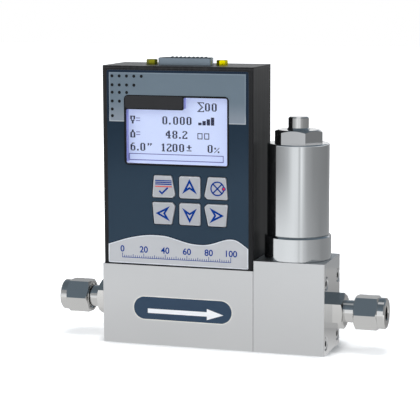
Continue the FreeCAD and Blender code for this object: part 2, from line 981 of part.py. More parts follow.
def valve_can():
    """Drawn steel can over the coil, with a broken lower edge and a rounded top edge."""
    can = turned(
        [
            (can_radius - can_wall, 0),
            (can_radius - 0.3, 0),
            (can_radius, 0.4),
            (can_radius, can_height),
            (stem_radius + 0.1, can_height),
            (stem_radius + 0.1, can_height - can_top_wall),
            (can_radius - can_wall, can_height - can_top_wall),
        ],
        at_valve(ring_top),
    )
    rim = [
        edge
        for edge in can.Edges
        if abs(edge.BoundBox.ZMax - can_top) < 0.01 and edge.BoundBox.XLength > can_radius * 1.9
    ]
    return can.makeFillet(min(0.8, can_wall / 2), [edge for edge in rim if edge.BoundBox.ZLength < 0.01])


def bobbin_span():
    """Lowest and highest point of the coil former inside the can."""
    return ring_top + 0.3, can_ceiling - 0.3


def coil_bobbin():
    """Plastic spool that slips over the guide tube."""
    low, high = bobbin_span()
    bore = guide_tube_radius + 0.1
    core = bore + bobbin_wall
    rim = can_radius - can_wall - 0.3
    return turned(
        [
            (bore, low),
            (rim, low),
            (rim, low + bobbin_flange),
            (core, low + bobbin_flange),
            (core, high - bobbin_flange),
            (rim, high - bobbin_flange),
            (rim, high),
            (bore, high),
        ],
        at_valve(0),
    )


def coil_winding():
    """The copper winding, as one body between the flanges of the spool."""
    low, high = bobbin_span()
    inner = guide_tube_radius + 0.1 + bobbin_wall + 0.02
    outer = can_radius - can_wall - 0.3 - winding_gap
    start = low + bobbin_flange + 0.02
    end = high - bobbin_flange - 0.02
    return turned([(inner, start), (outer, start), (outer, end), (inner, end)], at_valve(0))


def valve_nut():
    """Thin hexagon nut that holds the can down, with a small coned collar on top."""
    height = valve_nut_height
    nut = hex_blank(valve_nut_flats, 0, height, 0.0, False, True)
    foot = stem_radius + 0.6
    top = stem_radius + 0.15
    rise = height + 0.8
    collar = turned([(0, height - 1), (foot, height - 1), (foot, height), (top, rise), (0, rise)])
    nut = nut.fuse(collar).cut(rod(stem_radius + slip, Vector(0, 0, -1), height + 4))
    return placed(nut.removeSplitter(), at_valve(can_top), UP)


# Case of the display head
def corner_rounded(shape, places):
    """Rounds the upright edges of a shape that stand at the given (x, y) places."""
    picked = []
    for edge in shape.Edges:
        bounds = edge.BoundBox
        straight = bounds.XLength < 0.01 and bounds.YLength < 0.01
        near = any(abs(bounds.XMin - x) < 0.01 and abs(bounds.YMin - y) < 0.01 for x, y in places)
        picked += [edge] if straight and near else []
    return shape.makeFillet(case_corner_radius, picked)


def display_corners(room=0.0):
    """Corners of the lit opening, widened by room: a rectangle with the tab cut out of its upper left."""
    return [
        (display_left - room, display_bottom - room),
        (display_right + room, display_bottom - room),
        (display_right + room, display_top + room),
        (tab_right - room, display_top + room),
        (tab_right - room, tab_bottom + room),
        (display_left - room, tab_bottom + room),
    ]


def key_outline(column, row):
    """Outline of one key. Outer keys lean towards the middle column, all from one pattern."""
    half = key_size / 2
    middle_x = cluster_x + column * key_column_pitch
    middle_z = cluster_z + row * key_row_pitch / 2
    if column == 0:
        corners = rectangle(-half, half, -half, half)
    else:
        corners = [
            (-half + key_draft, half),
            (half - key_lean, half),
            (half + key_reach, -half + key_chamfer),
            (half + key_reach - key_chamfer, -half),
            (-half - key_reach, -half),
        ]
    side = -column or 1
    radius = key_corner_radius * (1 if column == 0 else 0.7)
    return outline([(middle_x + side * x, middle_z + row * z) for x, z in corners], radius)


def window_outline(lap):
    """Rounded rectangle round the display, wider than the lit area by lap."""
    corners = rectangle(display_left - lap, display_right + lap, display_bottom - lap, display_top + lap)
    return outline(corners, display_corner_radius)


KEYS = {
    "key_menu": (-1, 1),
    "key_up": (0, 1),
    "key_valve": (1, 1),
    "key_left": (-1, -1),
    "key_down": (0, -1),
    "key_right": (1, -1),
}


def case_shell():
    """Extruded channel: front wall and two sides, with screw ribs along its back edges."""
    shell = box(case_left, case_right, case_front, cover_front, body_height, shell_top)
    shell = corner_rounded(shell, [(case_left, case_front), (case_right, case_front)])
    inside = box(inner_left, inner_right, inner_front, cover_front + 1, body_height - 1, shell_top + 1)
    shell = shell.cut(inside)
    rib_top = shell_top - lid_lug_height - slip
    for x0, x1 in ((inner_left, inner_left + rib_width), (inner_right - rib_width, inner_right)):
        shell = shell.fuse(box(x0, x1, rib_front, cover_front, body_height, rib_top))
    pocket = rectangle(overlay_left, overlay_right, overlay_bottom, overlay_top)
    shell = shell.cut(plate(outline(pocket, overlay_corner_radius), case_front - 1, skin_back))
    shell = shell.cut(plate(window_outline(window_lap + slip), case_front, inner_front + 1))
    for column, row in KEYS.values():
        shell = shell.cut(plate(grown(key_outline(column, row), key_gap), case_front, inner_front + 1))
    for x, z in rib_screw_places():
        shell = shell.cut(rod(cover_screw_radius + slip, Vector(x, rib_front - 1, z), rib_depth + 2, BACK))
    for x, z in post_places:
        depth = board_screw_bite + 0.5
        shell = shell.cut(rod(board_screw_radius + slip, Vector(x, rib_front - 1, z), depth + 1, BACK))
    return shell.removeSplitter()


def rib_screw_places():
    inset = rib_width / 2
    return [
        (x, z)
        for x in (inner_left + inset, inner_right - inset)
        for z in (body_height + cover_screw_margin, shell_top - cover_screw_margin)
    ]


def foot_screw_places():
    reach = (case_right - case_left) / 4
    return [(case_middle + side * reach, body_height + bracket_upstand / 2 + 1) for side in (-1, 1)]


def rear_cover():
    """Flat plate that closes the back, let in level with the lid."""
    cover = box(case_left, case_right, cover_front, case_back, body_height, shell_top)
    cover = corner_rounded(cover, [(case_left, case_back), (case_right, case_back)])
    for x, z in rib_screw_places() + foot_screw_places():
        start = Vector(x, case_back, z)
        depth = cover_thickness + 1
        cover = cover.cut(flush_seat(cover_screw_radius, cover_screw_head_radius, depth, start, BACK * -1))
    return cover


def rear_cover_screws():
    """Countersunk screws in the cover: four into the ribs and two into the bracket."""
    lengths = ((rib_screw_places(), rib_depth), (foot_screw_places(), bracket_thickness))
    screws = []
    for places, bite in lengths:
        for x, z in places:
            start = Vector(x, case_back, z)
            length = cover_thickness + bite
            screw = flush_screw(cover_screw_radius, cover_screw_head_radius, length, start, BACK * -1)
            screws.append(screw)
    return group(screws)


def connector_outline(width, depth, radius):
    """D outline of the connector seen from above, wide side to the front, as a wire at Z 0."""
    slant = depth * math.tan(math.radians(connector_slant_angle))
    front, back = -depth / 2, depth / 2
    corners = [
        (-width / 2, front),
        (width / 2, front),
        (width / 2 - slant, back),
        (-width / 2 + slant, back),
    ]
    wire = outline(corners, radius)
    wire.rotate(Vector(0, 0, 0), EAST, -90)
    wire.translate(Vector(connector_x, 0, 0))
    return wire


def upright(wire, low, high):
    """A level outline stood up between two heights."""
    face = Part.Face(wire)
    face.translate(UP * low)
    return face.extrude(UP * (high - low))


def top_plate():
    """Flat lid with the connector's cut-out, and two lugs for the upper screws of the cover."""
    lid = box(case_left, case_right, case_front, case_back, shell_top, case_top)
    lid = corner_rounded(lid, [(x, y) for x in (case_left, case_right) for y in (case_front, case_back)])
    lug_width = rib_width - slip
    for x in (inner_left + slip, inner_right - slip - lug_width):
        lid = lid.fuse(box(x, x + lug_width, rib_front, cover_front, shell_top - lid_lug_height, shell_top))
    for x, z in rib_screw_places():
        lid = lid.cut(rod(cover_screw_radius + slip, Vector(x, rib_front - 1, z), rib_depth + 2, BACK))
    room = connector_sheet
    opening = connector_outline(
        connector_shell_width + room, connector_shell_depth + room, connector_corner_radius + room / 2
    )
    lid = lid.cut(upright(opening, shell_top - 1, case_top + 1))
    for x in jack_x:
        lid = lid.cut(rod(jack_stud_radius + 0.2, Vector(x, 0, shell_top - 1), 4))
    return lid


def base_bracket():
    """Folded sheet on the flow body. Its upstand takes the lower screws of the rear cover."""
    low = body_height
    sheet = bracket_thickness
    left, right = inner_left + 0.5, inner_right - 0.5
    back = cover_front
    plate_part = box(left, right, inner_front + 0.5, back, low, low + sheet)
    clear = rib_width + 1
    upstand = box(left + clear, right - clear, back - sheet, back, low, low + bracket_upstand)
    bracket = plate_part.fuse(upstand)
    for x0, x1 in ((left - 1, left + clear), (right - clear, right + 1)):
        bracket = bracket.cut(box(x0, x1, rib_front - 0.5, back + 1, low - 1, low + sheet + 1))
    half = sensor_base_length / 2 + 0.5
    side = sensor_base_width / 2 + 0.5
    bracket = bracket.cut(box(element_x - half, element_x + half, -side, side, low - 1, low + sheet + 1))
    for x in bracket_screw_x():
        bracket = bracket.cut(rod(block_screw_radius + screw_hole_room, Vector(x, 0, low - 1), sheet + 2))
    for x, z in foot_screw_places():
        start = Vector(x, back - sheet - 1, z)
        bracket = bracket.cut(rod(cover_screw_radius + slip, start, sheet + 2, BACK))
    return bracket


# Front of the head: printed skin, display and keys
def front_overlay():
    """Printed skin in the case's pocket, open at the display and at each key."""
    corners = rectangle(
        overlay_left + slip, overlay_right - slip, overlay_bottom + slip, overlay_top - slip
    )
    skin = plate(outline(corners, overlay_corner_radius), skin_face, skin_back)
    opening = outline(display_corners(), display_corner_radius * 0.6)
    skin = skin.cut(plate(opening, skin_face - 1, skin_back + 1))
    for column, row in KEYS.values():
        skin = skin.cut(plate(grown(key_outline(column, row), key_gap), skin_face - 1, skin_back + 1))
    return skin


def display_window():
    """Clear pane behind the skin."""
    return plate(window_outline(window_lap), skin_back, window_back)


def display_frame():
    """Pale frame between the pane and the glass, with a flange behind the front wall."""
    rim = plate(window_outline(window_lap), window_back, inner_front)
    flange = plate(window_outline(display_flange), inner_front, glass_front)
    opening = outline(display_corners(0.2), display_corner_radius * 0.6)
    inside = plate(opening, window_back - 1, glass_front + 1)
    return rim.fuse(flange).cut(inside).removeSplitter()


def lcd_glass():
    """Glass of the display."""
    return plate(window_outline(display_flange), glass_front, glass_back)


def backlight():
    """Light panel behind the glass."""
    return plate(window_outline(display_flange - 0.5), glass_back, board_front)


def display_board():
    """Board that carries the display and the key switches."""
    return drilled_board(board_front, board_high)


def drilled_board(front, high):
    """A circuit board up to a height, with a hole for each post's screw."""
    board = box(board_left, board_right, front, front + board_thickness, board_low, high)
    for x, z in post_places:
        hole = rod(board_screw_radius + 0.1, Vector(x, front - 1, z), board_thickness + 2, BACK)
        board = board.cut(hole)
    return board


def key(column, row):
    """Key cap with a rounded face edge, a lip behind the front wall and a stem for its switch."""
    middle = Vector(cluster_x + column * key_column_pitch, 0, cluster_z + row * key_row_pitch / 2)
    cap = plate(key_outline(column, row), key_face, key_lip_front)
    rim = [edge for edge in cap.Edges if abs(edge.BoundBox.YMax - key_face) < 0.01]
    cap = cap.makeChamfer(key_face_break, rim)
    lip = plate(grown(key_outline(column, row), key_lip), key_lip_front, key_lip_back)
    stem_start = Vector(middle.x, key_lip_back, middle.z)
    stem = rod(key_stem_radius, stem_start, key_stem_end - key_lip_back, BACK)
    return cap.fuse(lip).fuse(stem).removeSplitter()


def key_switches():
    """Six square switches, each with a well that the stem of its key enters."""
    half = switch_size / 2
    switches = []
    for column, row in KEYS.values():
        x = cluster_x + column * key_column_pitch
        z = cluster_z + row * key_row_pitch / 2
        base = box(x - half, x + half, switch_front, board_front, z - half, z + half)
        well = rod(key_stem_radius + 0.2, Vector(x, switch_front - 1, z), switch_well_depth + 1, BACK)
        switches.append(base.cut(well))
    return group(switches)


def main_board():
    """Main board with a few of its larger parts, as one soldered piece."""
    board = drilled_board(main_front, main_high)
    middle_z = (board_low + main_high) / 2
    parts = (
        (case_middle, middle_z, chip_size, chip_size, chip_thickness),
        (case_middle - chip_size * 1.7, middle_z + chip_size, chip_size / 2, chip_size, chip_thickness),
        (case_middle, main_high - header_width, header_length, header_width, header_height),
    )
    for x, z, width, height, rise in parts:
        half = width / 2
        part = box(x - half, x + half, main_front - rise, main_front, z - height / 2, z + height / 2)
        board = board.fuse(part)
    can_start = Vector(case_middle + chip_size * 1.5, main_front - capacitor_height, middle_z + chip_size)
    return board.fuse(rod(capacitor_radius, can_start, capacitor_height, BACK))


def board_posts():
    """Spacers between the boards, and shorter ones from the main board to the case's ribs."""
    posts = []
    for x, z in post_places:
        for start, end in ((board_back, main_front), (main_back, rib_front)):
            post = placed(hexagon(board_post_flats, 0, end - start), Vector(x, start, z), BACK)
            hole = rod(board_screw_radius + slip, Vector(x, start - 1, z), end - start + 2, BACK)
            posts.append(post.cut(hole))
    return group(posts)


def board_screws():
    """Long screws through both boards and their posts into the ribs."""
    length = rib_front - board_front + board_screw_bite
    head = board_screw_radius * 1.8
    height = board_screw_radius * 1.4
    return group(
        cap_screw(board_screw_radius, head, height, length, Vector(x, board_front, z), BACK)
        for x, z in post_places
    )


# Connector in the lid
def contact_places():
    front, back = -contact_row_spacing / 2, contact_row_spacing / 2
    places = [(connector_x + (step - 3.5) * contact_pitch, front) for step in range(8)]
    return places + [(connector_x + (step - 3) * contact_pitch, back) for step in range(7)]


def connector_shell():
    """Drawn metal shell with a flange that lies under the lid."""
    tube = upright(
        connector_outline(connector_shell_width, connector_shell_depth, connector_corner_radius),
        flange_bottom,
        connector_top,
    )
    half = connector_flange_length / 2
    side = connector_flange_width / 2
    flange = box(connector_x - half, connector_x + half, -side, side, flange_bottom, shell_top)
    shell = tube.fuse(flange)
    inner = connector_outline(
        connector_shell_width - 2 * connector_sheet,
        connector_shell_depth - 2 * connector_sheet,
        connector_corner_radius - connector_sheet,
    )
    shell = shell.cut(upright(inner, flange_bottom - 1, connector_top + 1))
    for x in jack_x:
        shell = shell.cut(rod(jack_stud_radius + slip, Vector(x, 0, flange_bottom - 1), 4))
    return shell.removeSplitter()


def connector_insulator():
    """Moulded body of the connector with a hole for each contact."""
    gap = connector_sheet + slip
    inner = connector_outline(
        connector_shell_width - 2 * gap, connector_shell_depth - 2 * gap, connector_corner_radius - gap
    )
    low = flange_bottom - connector_body_depth
    body = upright(inner, low, connector_top + 0.2)
    for x, y in contact_places():
        hole = rod(contact_hole_radius, Vector(x, y, low - 1), connector_top - low + 2)
        body = body.cut(hole)
    return body


def connector_contacts():
    """Fifteen square contacts in two rows, with their tails below the body."""
    half = contact_width / 2
    low = flange_bottom - connector_body_depth - contact_tail
    high = connector_top - contact_recess
    return group(box(x - half, x + half, y - half, y + half, low, high) for x, y in contact_places())


def jackscrews():
    """Two hexagon jackscrews, threaded for the plug's screws."""
    screws = []
    for x in jack_x:
        head = hex_blank(jack_flats, 0, jack_height, jack_turn, False, True)
        stud = rod(jack_stud_radius, Vector(0, 0, -jack_stud_length), jack_stud_length)
        hole = rod(jack_hole_radius, Vector(0, 0, jack_height - jack_hole_depth), jack_hole_depth + 1)
        screw = head.fuse(stud).cut(hole)
        screws.append(placed(screw, Vector(x, 0, case_top), UP))
    return group(screws)


NODES = {
    "flow_body": flow_body,
    "valve_block": valve_block,
    "block_seal": block_seal,
    "block_screws": block_screws,
    "inlet_screen": inlet_screen,
    "laminar_element": laminar_element,
    "inlet_fitting_body": lambda: at_inlet(fitting_body()),
    "inlet_nut": lambda: at_inlet(fitting_nut()),
    "inlet_front_ferrule": lambda: at_inlet(front_ferrule()),
    "inlet_back_ferrule": lambda: at_inlet(back_ferrule()),
    "outlet_fitting_body": lambda: at_outlet(fitting_body()),
    "outlet_nut": lambda: at_outlet(fitting_nut()),
    "outlet_front_ferrule": lambda: at_outlet(front_ferrule()),
    "outlet_back_ferrule": lambda: at_outlet(back_ferrule()),
    "port_seals": port_seals,
    "sensor_base": sensor_base,
    "sensor_tube": sensor_tube,
    "sensor_windings": sensor_windings,
    "sensor_cover": sensor_cover,
    "sensor_seals": sensor_seals,
    "body_top_screws": body_top_screws,
    "valve_seat": valve_seat,
    "guide_tube": guide_tube,
    "valve_seal": valve_seal,
    "pole_piece": pole_piece,
    "plunger": plunger,
    "plunger_pad": plunger_pad,
    "return_spring": return_spring,
    "valve_base_ring": valve_base_ring,
    "ring_screws": ring_screws,
    "valve_can": valve_can,
    "coil_bobbin": coil_bobbin,
    "coil_winding": coil_winding,
    "valve_nut": valve_nut,
    "case_shell": case_shell,
    "rear_cover": rear_cover,
    "rear_cover_screws": rear_cover_screws,
    "top_plate": top_plate,
    "base_bracket": base_bracket,
    "front_overlay": front_overlay,
    "display_window": display_window,
    "display_frame": display_frame,
    "lcd_glass": lcd_glass,
    "backlight": backlight,
    "display_board": display_board,
    "key_switches": key_switches,
    "main_board": main_board,
    "board_posts": board_posts,
    "board_screws": board_screws,
    "connector_shell": connector_shell,
    "connector_insulator": connector_insulator,
    "connector_contacts": connector_contacts,
    "jackscrews": jackscrews,
}


def main():
    os.makedirs("parts", exist_ok=True)
    for name, make in NODES.items():
        make().exportStep("parts/" + name + ".step")
    for name, (column, row) in KEYS.items():
        key(column, row).exportStep("parts/" + name + ".step")


main()
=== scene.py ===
"""Looks of a gas mass flow meter with a control valve: printed front, display, key signs, finishes and studio."""

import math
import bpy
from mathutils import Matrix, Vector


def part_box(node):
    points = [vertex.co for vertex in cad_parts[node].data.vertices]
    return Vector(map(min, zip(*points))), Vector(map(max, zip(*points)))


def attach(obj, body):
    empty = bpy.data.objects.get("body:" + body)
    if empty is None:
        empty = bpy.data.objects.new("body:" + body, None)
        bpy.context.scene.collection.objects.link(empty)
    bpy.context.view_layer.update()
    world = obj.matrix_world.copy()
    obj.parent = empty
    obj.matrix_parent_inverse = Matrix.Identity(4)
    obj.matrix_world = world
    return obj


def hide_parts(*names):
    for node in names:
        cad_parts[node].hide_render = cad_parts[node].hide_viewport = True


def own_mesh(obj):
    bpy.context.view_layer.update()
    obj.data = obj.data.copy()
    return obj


bl_info = {
    "name": "Gas mass flow meter",
    "version": (1, 0, 0),
    "blender": (4, 5, 0),
    "location": "View3D > Sidebar > Meter",
    "description": "Dresses the packed meter: printed front, display picture, key signs, finishes and studio",
    "category": "Object",
}

import bpy
from mathutils import Matrix, Vector

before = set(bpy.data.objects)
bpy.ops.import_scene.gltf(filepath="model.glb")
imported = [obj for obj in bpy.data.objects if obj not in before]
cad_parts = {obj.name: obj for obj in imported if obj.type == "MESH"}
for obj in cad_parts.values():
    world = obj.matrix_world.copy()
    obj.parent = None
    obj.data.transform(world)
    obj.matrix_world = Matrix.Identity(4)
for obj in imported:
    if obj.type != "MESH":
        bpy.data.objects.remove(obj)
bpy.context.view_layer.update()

MM = 0.001
METER = "meter"
KEYS = ("menu", "up", "valve", "left", "down", "right")
# Millimetres: how far a print's back is sunk, and how far ink stays from the window and from the film's edge.
SUNK = 0.01
WINDOW_GAP = 0.4
FILM_EDGE = 0.15
# Digits: their height as a share of the type size, and how far their outline is moved outward, in millimetres.
DIGIT_SHARE = 0.72
DIGIT_BOLD = 0.08
# Metres: distances over which the floor's glow and its mirrored tone rise, and the depth over which that tone fades.
GLOW_RISE = (0.08, 0.3)
MIRROR_RISE = (0.07, 0.22)
BACK_FADE = (-0.005, 0.06)
# Metres: reach of the painted contact shadow, a dark line where the meter stands, and heights between which the
# reflected wall changes tone.
PAINTED_SHADOW_REACH = 0.006
WALL_CHANGE = (0.022, 0.058)


def ink(red, green, blue):
    """A colour given as screen values from 0 to 255, in the linear values that shaders use."""
    return tuple(((v / 255 + 0.055) / 1.055) ** 2.4 if v > 10 else v / 255 / 12.92 for v in (red, green, blue))


def box_mm(node):
    """Lowest and highest corner of a CAD node, in millimetres."""
    return tuple(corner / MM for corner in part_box(node))


SKIN_LOW, SKIN_HIGH = box_mm("front_overlay")
SOCKET_LOW, SOCKET_HIGH = box_mm("connector_insulator")
SKIN_FACE = SKIN_LOW.y
BLOCK_FACE = box_mm("flow_body")[0].y
GLASS_FACE = box_mm("lcd_glass")[0].y


def length(name, description, size):
    """A length property; size is in millimetres."""
    return bpy.props.FloatProperty(name=name, description=description, default=size * MM, unit="LENGTH", precision=5)


def colour(name, description, *screen):
    """A colour property; screen holds its three values from 0 to 255."""
    return bpy.props.FloatVectorProperty(
        name=name, description=description, default=ink(*screen), subtype="COLOR", size=3, min=0, max=1
    )


def angle(name, description, degrees):
    """An angle property."""
    return bpy.props.FloatProperty(
        name=name, description=description, default=math.radians(degrees), subtype="ANGLE", precision=4
    )


def amount(name, description, value):
    """A plain number property."""
    return bpy.props.FloatProperty(name=name, description=description, default=value, min=0)


class MeterPrintSettings(bpy.types.PropertyGroup):
    """Sizes and colours of the printed front."""

    film: length("Ink step", "How far each layer of ink stands in front of the one below", 0.02)
    header_left: length("Header left", "Left edge of the silver field", -48.15)
    header_right: length("Header right", "Right edge of the silver field", 15.95)
    header_bottom: length("Header bottom", "Bottom edge of the silver field", 101.7)
    header_top: length("Header top", "Top edge of the silver field", 123.75)
    header_rim: length("Header rim", "Width of the pale rim round the silver field", 0.45)
    key_line: length("Key line", "Width of the dark line round each key's front", 0.75)
    dot: length("Dot", "Diameter of the printed dots", 1.42)
    outline: length("Window outline", "Width of the black line round the window", 0.85)
    window_left: length("Window left", "Left edge of the window", -40.2)
    window_right: length("Window right", "Right edge of the window", 7.4)
    window_bottom: length("Window bottom", "Bottom edge of the window", 83.0)
    window_top: length("Window top", "Top edge of the window", 112.9)
    tab_right: length("Tab right", "Right edge of the dark tab", -12.9)
    tab_bottom: length("Tab bottom", "Bottom edge of the dark tab", 107.3)
    wave_rim: length("Wave rim", "Width of the pale line along the wave", 0.4)
    rule_left: length("Rule left", "First mark of the graduated rule", -42.5)
    rule_right: length("Rule right", "Last mark of the graduated rule", 9.0)
    navy: colour("Navy", "Field of the printed front, lower half", 38, 56, 72)
    navy_top: colour("Navy top", "Field of the printed front under the silver one", 22, 41, 57)
    deep_navy: colour("Deep navy", "Border of the printed front", 18, 36, 54)
    silver: colour("Silver", "Wave along the bottom", 186, 187, 190)
    pale: colour("Pale", "Fine rims of the silver fields", 216, 219, 224)
    slate_top: colour("Slate top", "Silver field at its top", 102, 116, 127)
    slate_bottom: colour("Slate bottom", "Silver field at its bottom", 130, 139, 149)
    black: colour("Black ink", "Dots, window outline", 9, 10, 12)
    tab_grey: colour("Tab grey", "Dark tab over the window", 44, 44, 46)
    blue: colour("Blue ink", "Rule and key signs", 0, 52, 134)
    red: colour("Red ink", "Small red accents", 214, 38, 36)


class MeterDisplaySettings(bpy.types.PropertyGroup):
    """The picture on the display."""

    pitch: length("Dot pitch", "Distance between two dots of the display", 0.394)
    gap: length("Dot gap", "Gap round each dot", 0.006)
    left: length("Left column", "Left edge of the first column of dots", -40.8)
    bottom: length("Bottom row", "Bottom edge of the first row of dots", 83.95)
    lift: length("Lift", "How far the dots stand in front of the glass", 0.03)
    lit: colour("Lit", "Lit field", 160, 169, 195)
    # Painted light: the lit field made lighter along its right side.
    painted_light_edge: colour("Lit edge", "Lit field along its right side", 182, 188, 206)
    dot_dark: colour("Dark dots", "Figures", 40, 40, 66)
    dot_faint: colour("Faint dots", "Bar and marks", 116, 116, 176)


class MeterKeySettings(bpy.types.PropertyGroup):
    """Signs on the keys."""

    stroke: length("Stroke", "Width of the arrows' outline", 0.88)
    arrow_reach: length("Arrow reach", "Tip of an arrow from the key's middle", 3.9)
    arrow_wing: length("Arrow wing", "Half width of an arrow", 3.5)
    ring: length("Ring", "Outer radius of the valve sign", 3.3)
    ring_stroke: length("Ring stroke", "Width of the valve sign's lines", 0.62)


class MeterPlateSettings(bpy.types.PropertyGroup):
    """Flow direction mark on the block."""

    left: length("Left", "Left end of the mark", -37.4)
    right: length("Right", "Right end of the mark", 10.0)
    bottom: length("Bottom", "Bottom of the mark", 11.4)
    top: length("Top", "Top of the mark", 22.6)
    line: length("Line", "Width of the pale outline", 0.42)
    field: colour("Field", "Field of the mark", 47, 66, 87)
    outline: colour("Outline", "Outline of the mark", 224, 222, 216)
    arrow: colour("Arrow", "Arrow", 238, 238, 240)


class MeterSpringSettings(bpy.types.PropertyGroup):
    """Return spring inside the valve."""

    radius: length("Radius", "Radius of the coils, to the middle of the wire", 2.0)
    wire: length("Wire", "Radius of the wire", 0.3)
    turns: bpy.props.IntProperty(name="Turns", description="Number of coils", default=5, min=1)
    travel: length("Travel", "How far the plunger's lift shortens the spring", 0.5)


class MeterStudioSettings(bpy.types.PropertyGroup):
    """Camera, floor, surroundings and lamps."""

    lens: amount("Lens", "Focal length in millimetres", 134.98)
    place: bpy.props.FloatVectorProperty(
        name="Camera place", description="Where the camera stands", default=(0.2107, -0.6753, 0.1659),
        subtype="TRANSLATION", size=3, precision=4,
    )
    turn: angle("Turn", "Camera's turn about the vertical", 17.734)
    tilt: angle("Tilt", "Camera's tilt up from straight down", 81.578)
    roll: angle("Roll", "Camera's roll", -0.168)
    key_power: amount("Key lamp", "Power of the large lamp at the front left", 6.5)
    top_power: amount("Top lamp", "Power of the lamp overhead", 4.0)
    side_power: amount("Side lamp", "Power of the lamp on the right", 1.6)
    floor_near: amount("Floor near", "Light that the floor adds for the camera close to the meter", 0.43)
    floor_far: amount("Floor far", "Light that the floor adds for the camera further away", 1.1)
    mirror_near: amount("Mirrored floor near", "Tone of the floor close by, as steel reflects it", 0.74)
    mirror_far: amount("Mirrored floor far", "Tone of the floor further away, as steel reflects it", 1.3)
    mirror_back: amount("Mirrored floor behind", "Share of that tone behind the meter", 0.36)
    wall_radius: length("Wall radius", "Radius of the reflected wall", 200)
    wall_low: length("Wall bottom", "Bottom edge of the reflected wall", 1)
    wall_high: length("Wall top", "Top edge of the reflected wall", 110)


def in_mm(settings, *names):
    """Some of a group's lengths, in millimetres."""
    return [getattr(settings, name) / MM for name in names]


def only(obj):
    """Selects one object alone and makes it the active one."""
    bpy.ops.object.select_all(action="DESELECT")
    obj.select_set(True)
    bpy.context.view_layer.objects.active = obj


def added(operator, **options):
    """The object that an operator adds."""
    bpy.ops.object.select_all(action="DESELECT")
    operator(**options)
    return bpy.context.object


def settled(obj, name, finish, body=METER):
    """Puts the object's place into its mesh, names it, gives it its finish and lets it ride on a body."""
    only(obj)
    bpy.ops.object.transform_apply(location=True, rotation=True, scale=True)
    obj.name = obj.data.name = name
    obj.data.materials.clear()
    obj.data.materials.append(finish)
    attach(obj, body)
    return obj


def pick_faces(obj, wanted):
    """Opens a mesh for editing with the wanted faces selected, and no others."""
    only(obj)
    bpy.context.tool_settings.mesh_select_mode = (False, False, True)
    bpy.ops.object.mode_set(mode="EDIT")
    bpy.ops.mesh.select_all(action="DESELECT")
    bpy.ops.object.mode_set(mode="OBJECT")
    for face in obj.data.polygons:
        face.select = wanted(face)
    bpy.ops.object.mode_set(mode="EDIT")


def front_outline(node_name):
    """The outline of a CAD part's foremost flat face: (x, z) points in millimetres, anticlockwise."""
    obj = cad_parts[node_name]
    places = [obj.matrix_world @ vertex.co / MM for vertex in obj.data.vertices]
    nearest = min(place.y for place in places)
    sides = set()
    for face in obj.data.polygons:
        corners = [places[i] for i in face.vertices]
        if max(corner.y for corner in corners) < nearest + 0.001:
            ring = [(round(corner.x, 3), round(corner.z, 3)) for corner in corners]
            for side in zip(ring, ring[1:] + ring[:1]):
                sides ^= {side} if side[::-1] not in sides else {side[::-1]}
    following = dict(sides)
    points = [min(following)]
    while len(points) < len(following):
        points.append(following[points[-1]])
    return points


def blank_curve(dimensions):
    """The data of a new curve object without any splines."""
    curve = added(bpy.ops.curve.primitive_nurbs_path_add).data
    curve.splines.clear()
    curve.dimensions = dimensions
    return curve


def facing_forward(face, depth, x=0, z=0):
    """Turns the active curve into a mesh that faces forward, with its back sunk behind the plane y = face."""
    bpy.ops.object.convert(target="MESH")
    obj = bpy.context.object
    obj.rotation_euler = (math.pi / 2, 0, 0)
    obj.location = (x * MM, (face - (depth - SUNK) / 2) * MM, z * MM)
    return obj


def flat_figure(outlines, face, depth):
    """A flat figure that stands depth before y = face.

    The outlines hold (x, z) points in millimetres, and those inside others are holes.
    """
    curve = blank_curve("2D")
    curve.fill_mode = "BOTH"
    curve.extrude = (depth + SUNK) / 2 * MM
    for points in outlines:
        spline = curve.splines.new("POLY")
        spline.points.add(len(points) - 1)
        for point, (x, z) in zip(spline.points, points):
            point.co = (x * MM, z * MM, 0, 1)
        spline.use_cyclic_u = True
    return facing_forward(face, depth)


def flat_number(text, x, z, height, face, depth):
    """A plain number that stands depth before y = face, its middle at x and its foot at z."""
    words = added(bpy.ops.object.text_add).data
    words.body = text
    words.size = height * MM / DIGIT_SHARE
    words.offset = DIGIT_BOLD * MM
    words.extrude = (depth + SUNK) / 2 * MM
    words.align_x = "CENTER"
    words.resolution_u = 6
    return facing_forward(face, depth, x, z)


def film_layer(level, name, finish, *outlines):
    """Prints a flat figure on the front film: level counts the layers of ink up to its front."""
    step = bpy.context.scene.meter_print.film / MM
    settled(flat_figure(outlines, SKIN_FACE, step * level), name, finish)


def joined(objects):
    """Joins objects into the first one."""
    bpy.ops.object.select_all(action="DESELECT")
    for obj in objects:
        obj.select_set(True)
    bpy.context.view_layer.objects.active = objects[0]
    bpy.ops.object.join()
    return bpy.context.object


def circle(x, z, radius, count=32):
    """Points of a circle."""
    steps = [math.tau * i / count for i in range(count)]
    return [(x + radius * math.cos(a), z + radius * math.sin(a)) for a in steps]


def rectangle(left, right, bottom, top):
    """Corners of an upright rectangle, anticlockwise."""
    return [(left, bottom), (right, bottom), (right, top), (left, top)]


def rounded(corners, radius, steps=6):
    """The outline through the corners with each corner replaced by an arc."""
    points = []
    for i, corner in enumerate(corners):
        here = Vector(corner)
        back = (Vector(corners[i - 1]) - here).normalized()
        on = (Vector(corners[(i + 1) % len(corners)]) - here).normalized()
        half = back.angle(on) / 2
        run = radius / math.tan(half)
        start, end = here + back * run, here + on * run
        centre = here + (back + on).normalized() * (radius / math.sin(half))
        first = math.atan2(start.y - centre.y, start.x - centre.x)
        sweep = math.atan2(end.y - centre.y, end.x - centre.x) - first
        sweep = (sweep + math.pi) % math.tau - math.pi
        arc = [first + sweep * k / steps for k in range(steps + 1)]
        points += [(centre.x + radius * math.cos(a), centre.y + radius * math.sin(a)) for a in arc]
    return points


